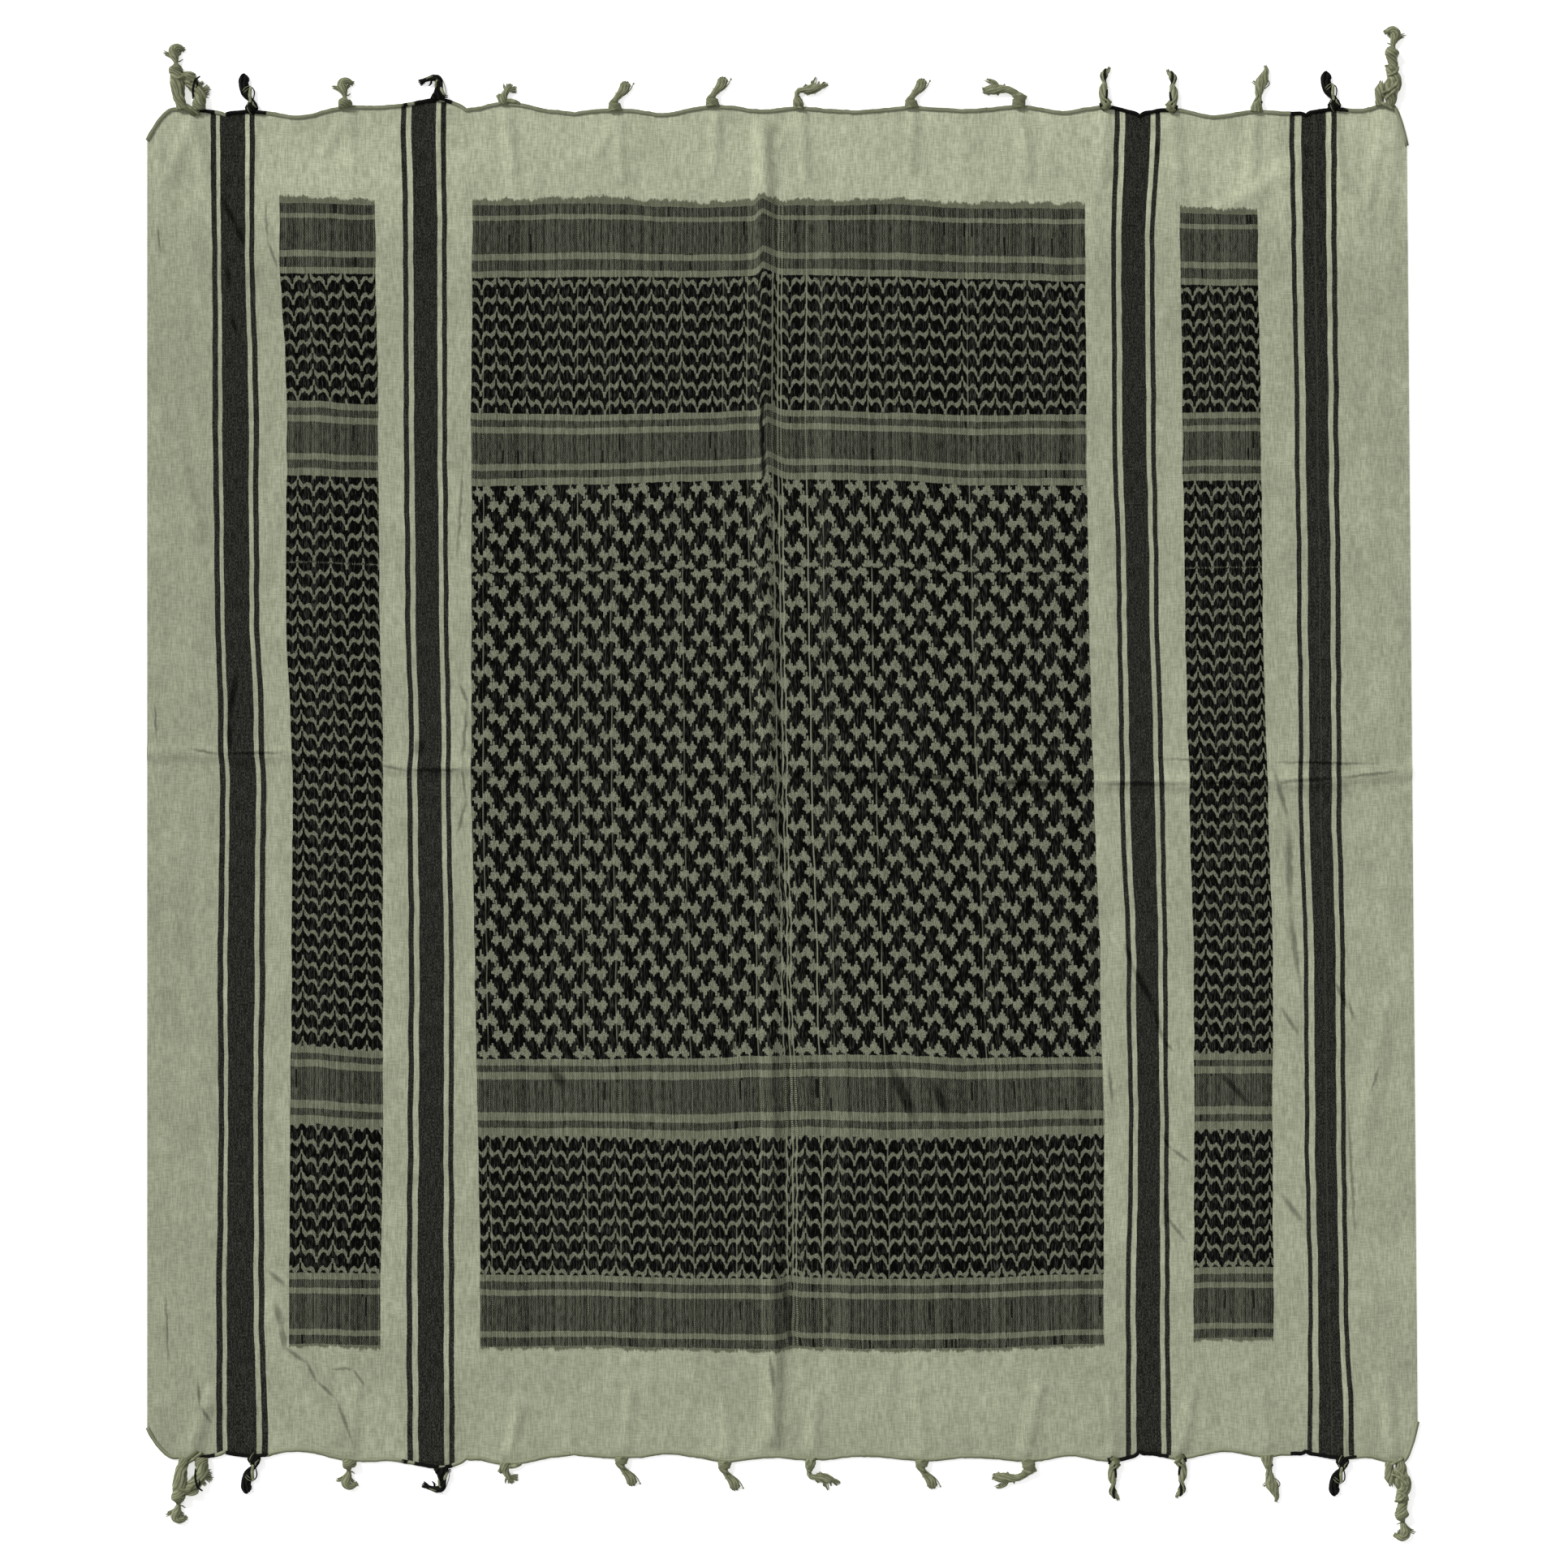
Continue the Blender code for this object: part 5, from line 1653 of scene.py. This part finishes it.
def lay_yarn(shape, yarn, places, radii, sides, black, seed=0.0):
    """A yarn along a line of places, thinner or thicker along its length."""
    rings, shares, lengths = [], [], []
    length = 0.0
    for number, place in enumerate(places):
        before, after = places[max(number - 1, 0)], places[min(number + 1, len(places) - 1)]
        run = (after - before).normalized()
        beside = run.cross(Vector((0.0, 0.0, 1.0)))
        if beside.length < 0.05:
            beside = Vector((1.0, 0.0, 0.0))
        beside.normalize()
        above = beside.cross(run)
        if number:
            length += (place - places[number - 1]).length
        ring = []
        for corner in range(sides):
            turn = 2 * math.pi * corner / sides
            spot = place + (beside * math.cos(turn) + above * math.sin(turn)) * radii[number]
            ring.append(shape.verts.new((spot.x, spot.y, max(0.02, spot.z))))
        rings.append(ring)
        shares.append([seed + 0.2 + 0.6 * corner / sides for corner in range(sides + 1)])
        lengths.append(length / 10.0)
    skin(shape, yarn, rings, shares, lengths, lambda share: int(black))


def comb_lock(shape, yarn, rows, lock, black, chance):
    """A lock of loose yarns that leaves one row of a trunk and spreads towards its tip."""
    row, tip_across, tip_out, bow, yarns = lock
    across, out, wide, high, _ = rows[row]
    for number in range(yarns):
        spread = (number + 0.5) / yarns - 0.5
        run = Vector((tip_across, tip_out, 0.0))
        left = Vector((-run.y, run.x, 0.0))
        root = Vector((across, out, high)) + left.normalized() * (spread * wide * 0.9)
        root.z = high * chance.uniform(0.9, 1.5)
        tip = Vector((across, out, 0.0)) + run * chance.uniform(0.86, 1.04)
        tip += left.normalized() * (spread * yarns * 0.62 + chance.uniform(-0.25, 0.25))
        tip.z = LOCK_TIP_RADIUS + chance.uniform(0.0, 1.2)
        control = root.lerp(tip, 0.5) + left * (2 * bow + chance.uniform(-0.05, 0.05))
        control.z = mixed(root.z, tip.z, 0.35)
        places, radii = [], []
        for step in range(LOCK_STEPS + 1):
            share = step / LOCK_STEPS
            place = root.lerp(control, share).lerp(control.lerp(tip, share), share)
            place += left.normalized() * (0.14 * math.sin(share * 9.0 + number * 2.1))
            places.append(place)
            radii.append(mixed(LOCK_RADIUS, LOCK_TIP_RADIUS, share ** 1.5))
        lay_yarn(shape, yarn, places, radii, 6, black, number * 0.37)


def lay_single(shape, yarn, black, radius, marks):
    """One yarn that shows on its own, through a few marks."""
    steps = 4 * (len(marks) - 1)
    places = [Vector(curve_through(marks, step / steps)) for step in range(steps + 1)]
    radii = [radius * (0.75 + 0.25 * math.sin(math.pi * step / steps)) for step in range(steps + 1)]
    lay_yarn(shape, yarn, places, radii, 10 if radius > THICK_YARN else 6, black, radius)


def add_hairs(shape, yarn, rows, black, chance):
    """Short stray fibres along a trunk."""
    for _ in range(HAIRS):
        share = chance.uniform(0.08, 1.0)
        across, out, wide, high, _ = curve_through(rows, share)
        turn = chance.uniform(0.0, 2 * math.pi)
        flow = Vector((math.cos(turn), math.sin(turn), 0.0))
        start = Vector((across, out, high)) + flow * (wide * 0.9)
        start.z = high * chance.uniform(0.6, 1.5)
        size = chance.uniform(0.8, 2.6)
        curl = Vector((-flow.y, flow.x, 0.0)) * chance.uniform(-0.9, 0.9)
        places = []
        for step in range(4):
            part = step / 3.0
            place = start + flow * (size * part) + curl * (size * part * part)
            place.z = mixed(start.z, max(0.2, start.z - size * 0.6), part)
            places.append(place)
        lay_yarn(shape, yarn, places, [HAIR_RADIUS] * 3 + [HAIR_TIP], 3, black)


def model_tassel(kind, seed):
    """One kind of tassel, in millimetres from where its knot sits on the hem."""
    shape = bmesh.new()
    yarn = shape.loops.layers.uv.new("yarn")
    chance = random.Random(seed)
    lobes, blacks = LOBES[kind]
    mostly_black = len(blacks) > lobes / 2
    for rows in TRUNKS[kind]:
        wind_trunk(shape, yarn, rows, lobes, blacks)
        add_hairs(shape, yarn, rows, mostly_black, chance)
    for lock in LOCKS[kind]:
        comb_lock(shape, yarn, TRUNKS[kind][lock[0]], lock[1:], mostly_black, chance)
    for black, radius, marks in YARNS_ON_TOP.get(kind, ()):
        lay_single(shape, yarn, black, radius, marks)
    bmesh.ops.recalc_face_normals(shape, faces=shape.faces)
    return shape


def tie_tassel(name, model, knot, side):
    """Puts a copy of a modelled tassel on its knot: the bottom ones point down."""
    shape = model.copy()
    for vertex in shape.verts:
        vertex.co.x = knot_across(knot, side) + knot[1] * vertex.co.x
        vertex.co.y = side * (knot[4] + vertex.co.y)
    if knot[1] * side < 0:
        bmesh.ops.reverse_faces(shape, faces=shape.faces)
    return finish_mesh(name, shape, [GREEN, BLACK])


def tie_tassels():
    """Fifteen tassels at each end, copied from one model of each kind."""
    models = {kind: model_tassel(kind, seed) for seed, kind in enumerate(TRUNKS)}
    for side, end in ((1, "top"), (-1, "bottom")):
        for number, knot in enumerate(KNOTS, start=1):
            name = f"tassel_{end}_{number:02d}"
            piece = tie_tassel(f"knotted_{name}", models[knot[0]], knot, side)
            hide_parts(name)
    for model in models.values():
        model.free()


tie_tassels()

# The floor, the light and the camera, in metres and degrees
FLOOR_SIDE = 12.0
FLOOR_DROP = 0.0003
SKY_STRENGTH = 0.48
LAMP_PLACE = (-1.8, 1.6, 1.7)
LAMP_SPREAD = 14.0
LAMP_STRENGTH = 2.9
CAMERA_HEIGHT = 4.0
# The sensor's side in millimetres, and the photograph's in its own pixels
SENSOR = 36.0
PHOTO_SIDE = 1932.0


def lay_floor():
    """A plain pale floor just under the scarf."""
    bpy.ops.mesh.primitive_plane_add(size=FLOOR_SIDE, location=(0.0, 0.0, -FLOOR_DROP))
    ground = bpy.context.object
    ground.name = "pale_floor"
    ground.data.materials.append(floor_material())


def light_it():
    """Even white light all round, and one broad lamp from the upper left."""
    scene = bpy.context.scene
    world = bpy.data.worlds.new("soft_white")
    world.use_nodes = True
    sky = world.node_tree.nodes["Background"]
    sky.inputs["Color"].default_value = WHITE
    sky.inputs["Strength"].default_value = SKY_STRENGTH
    scene.world = world
    lamp = bpy.data.lights.new("broad_lamp", "SUN")
    lamp.angle = math.radians(LAMP_SPREAD)
    lamp.energy = LAMP_STRENGTH
    stand = bpy.data.objects.new("broad_lamp", lamp)
    stand.location = LAMP_PLACE
    aim = Vector((0.0, 0.0, 0.0)) - stand.location
    stand.rotation_euler = aim.to_track_quat("-Z", "Y").to_euler()
    scene.collection.objects.link(stand)
    scene.view_settings.view_transform = "Standard"


def set_camera():
    """Straight down over the middle of the photograph, from four metres."""
    eye = bpy.data.cameras.new("camera")
    eye.sensor_width = SENSOR
    eye.lens = SENSOR * CAMERA_HEIGHT / (PHOTO_SIDE / PIXELS_PER_MM * MM)
    camera = bpy.data.objects.new("camera", eye)
    camera.location = (
        (PHOTO_SIDE / 2 - PIXEL_ACROSS) / PIXELS_PER_MM * MM,
        (PIXEL_ALONG - PHOTO_SIDE / 2) / PIXELS_PER_MM * MM,
        CAMERA_HEIGHT,
    )
    bpy.context.scene.collection.objects.link(camera)
    bpy.context.scene.camera = camera


lay_floor()
light_it()
set_camera()
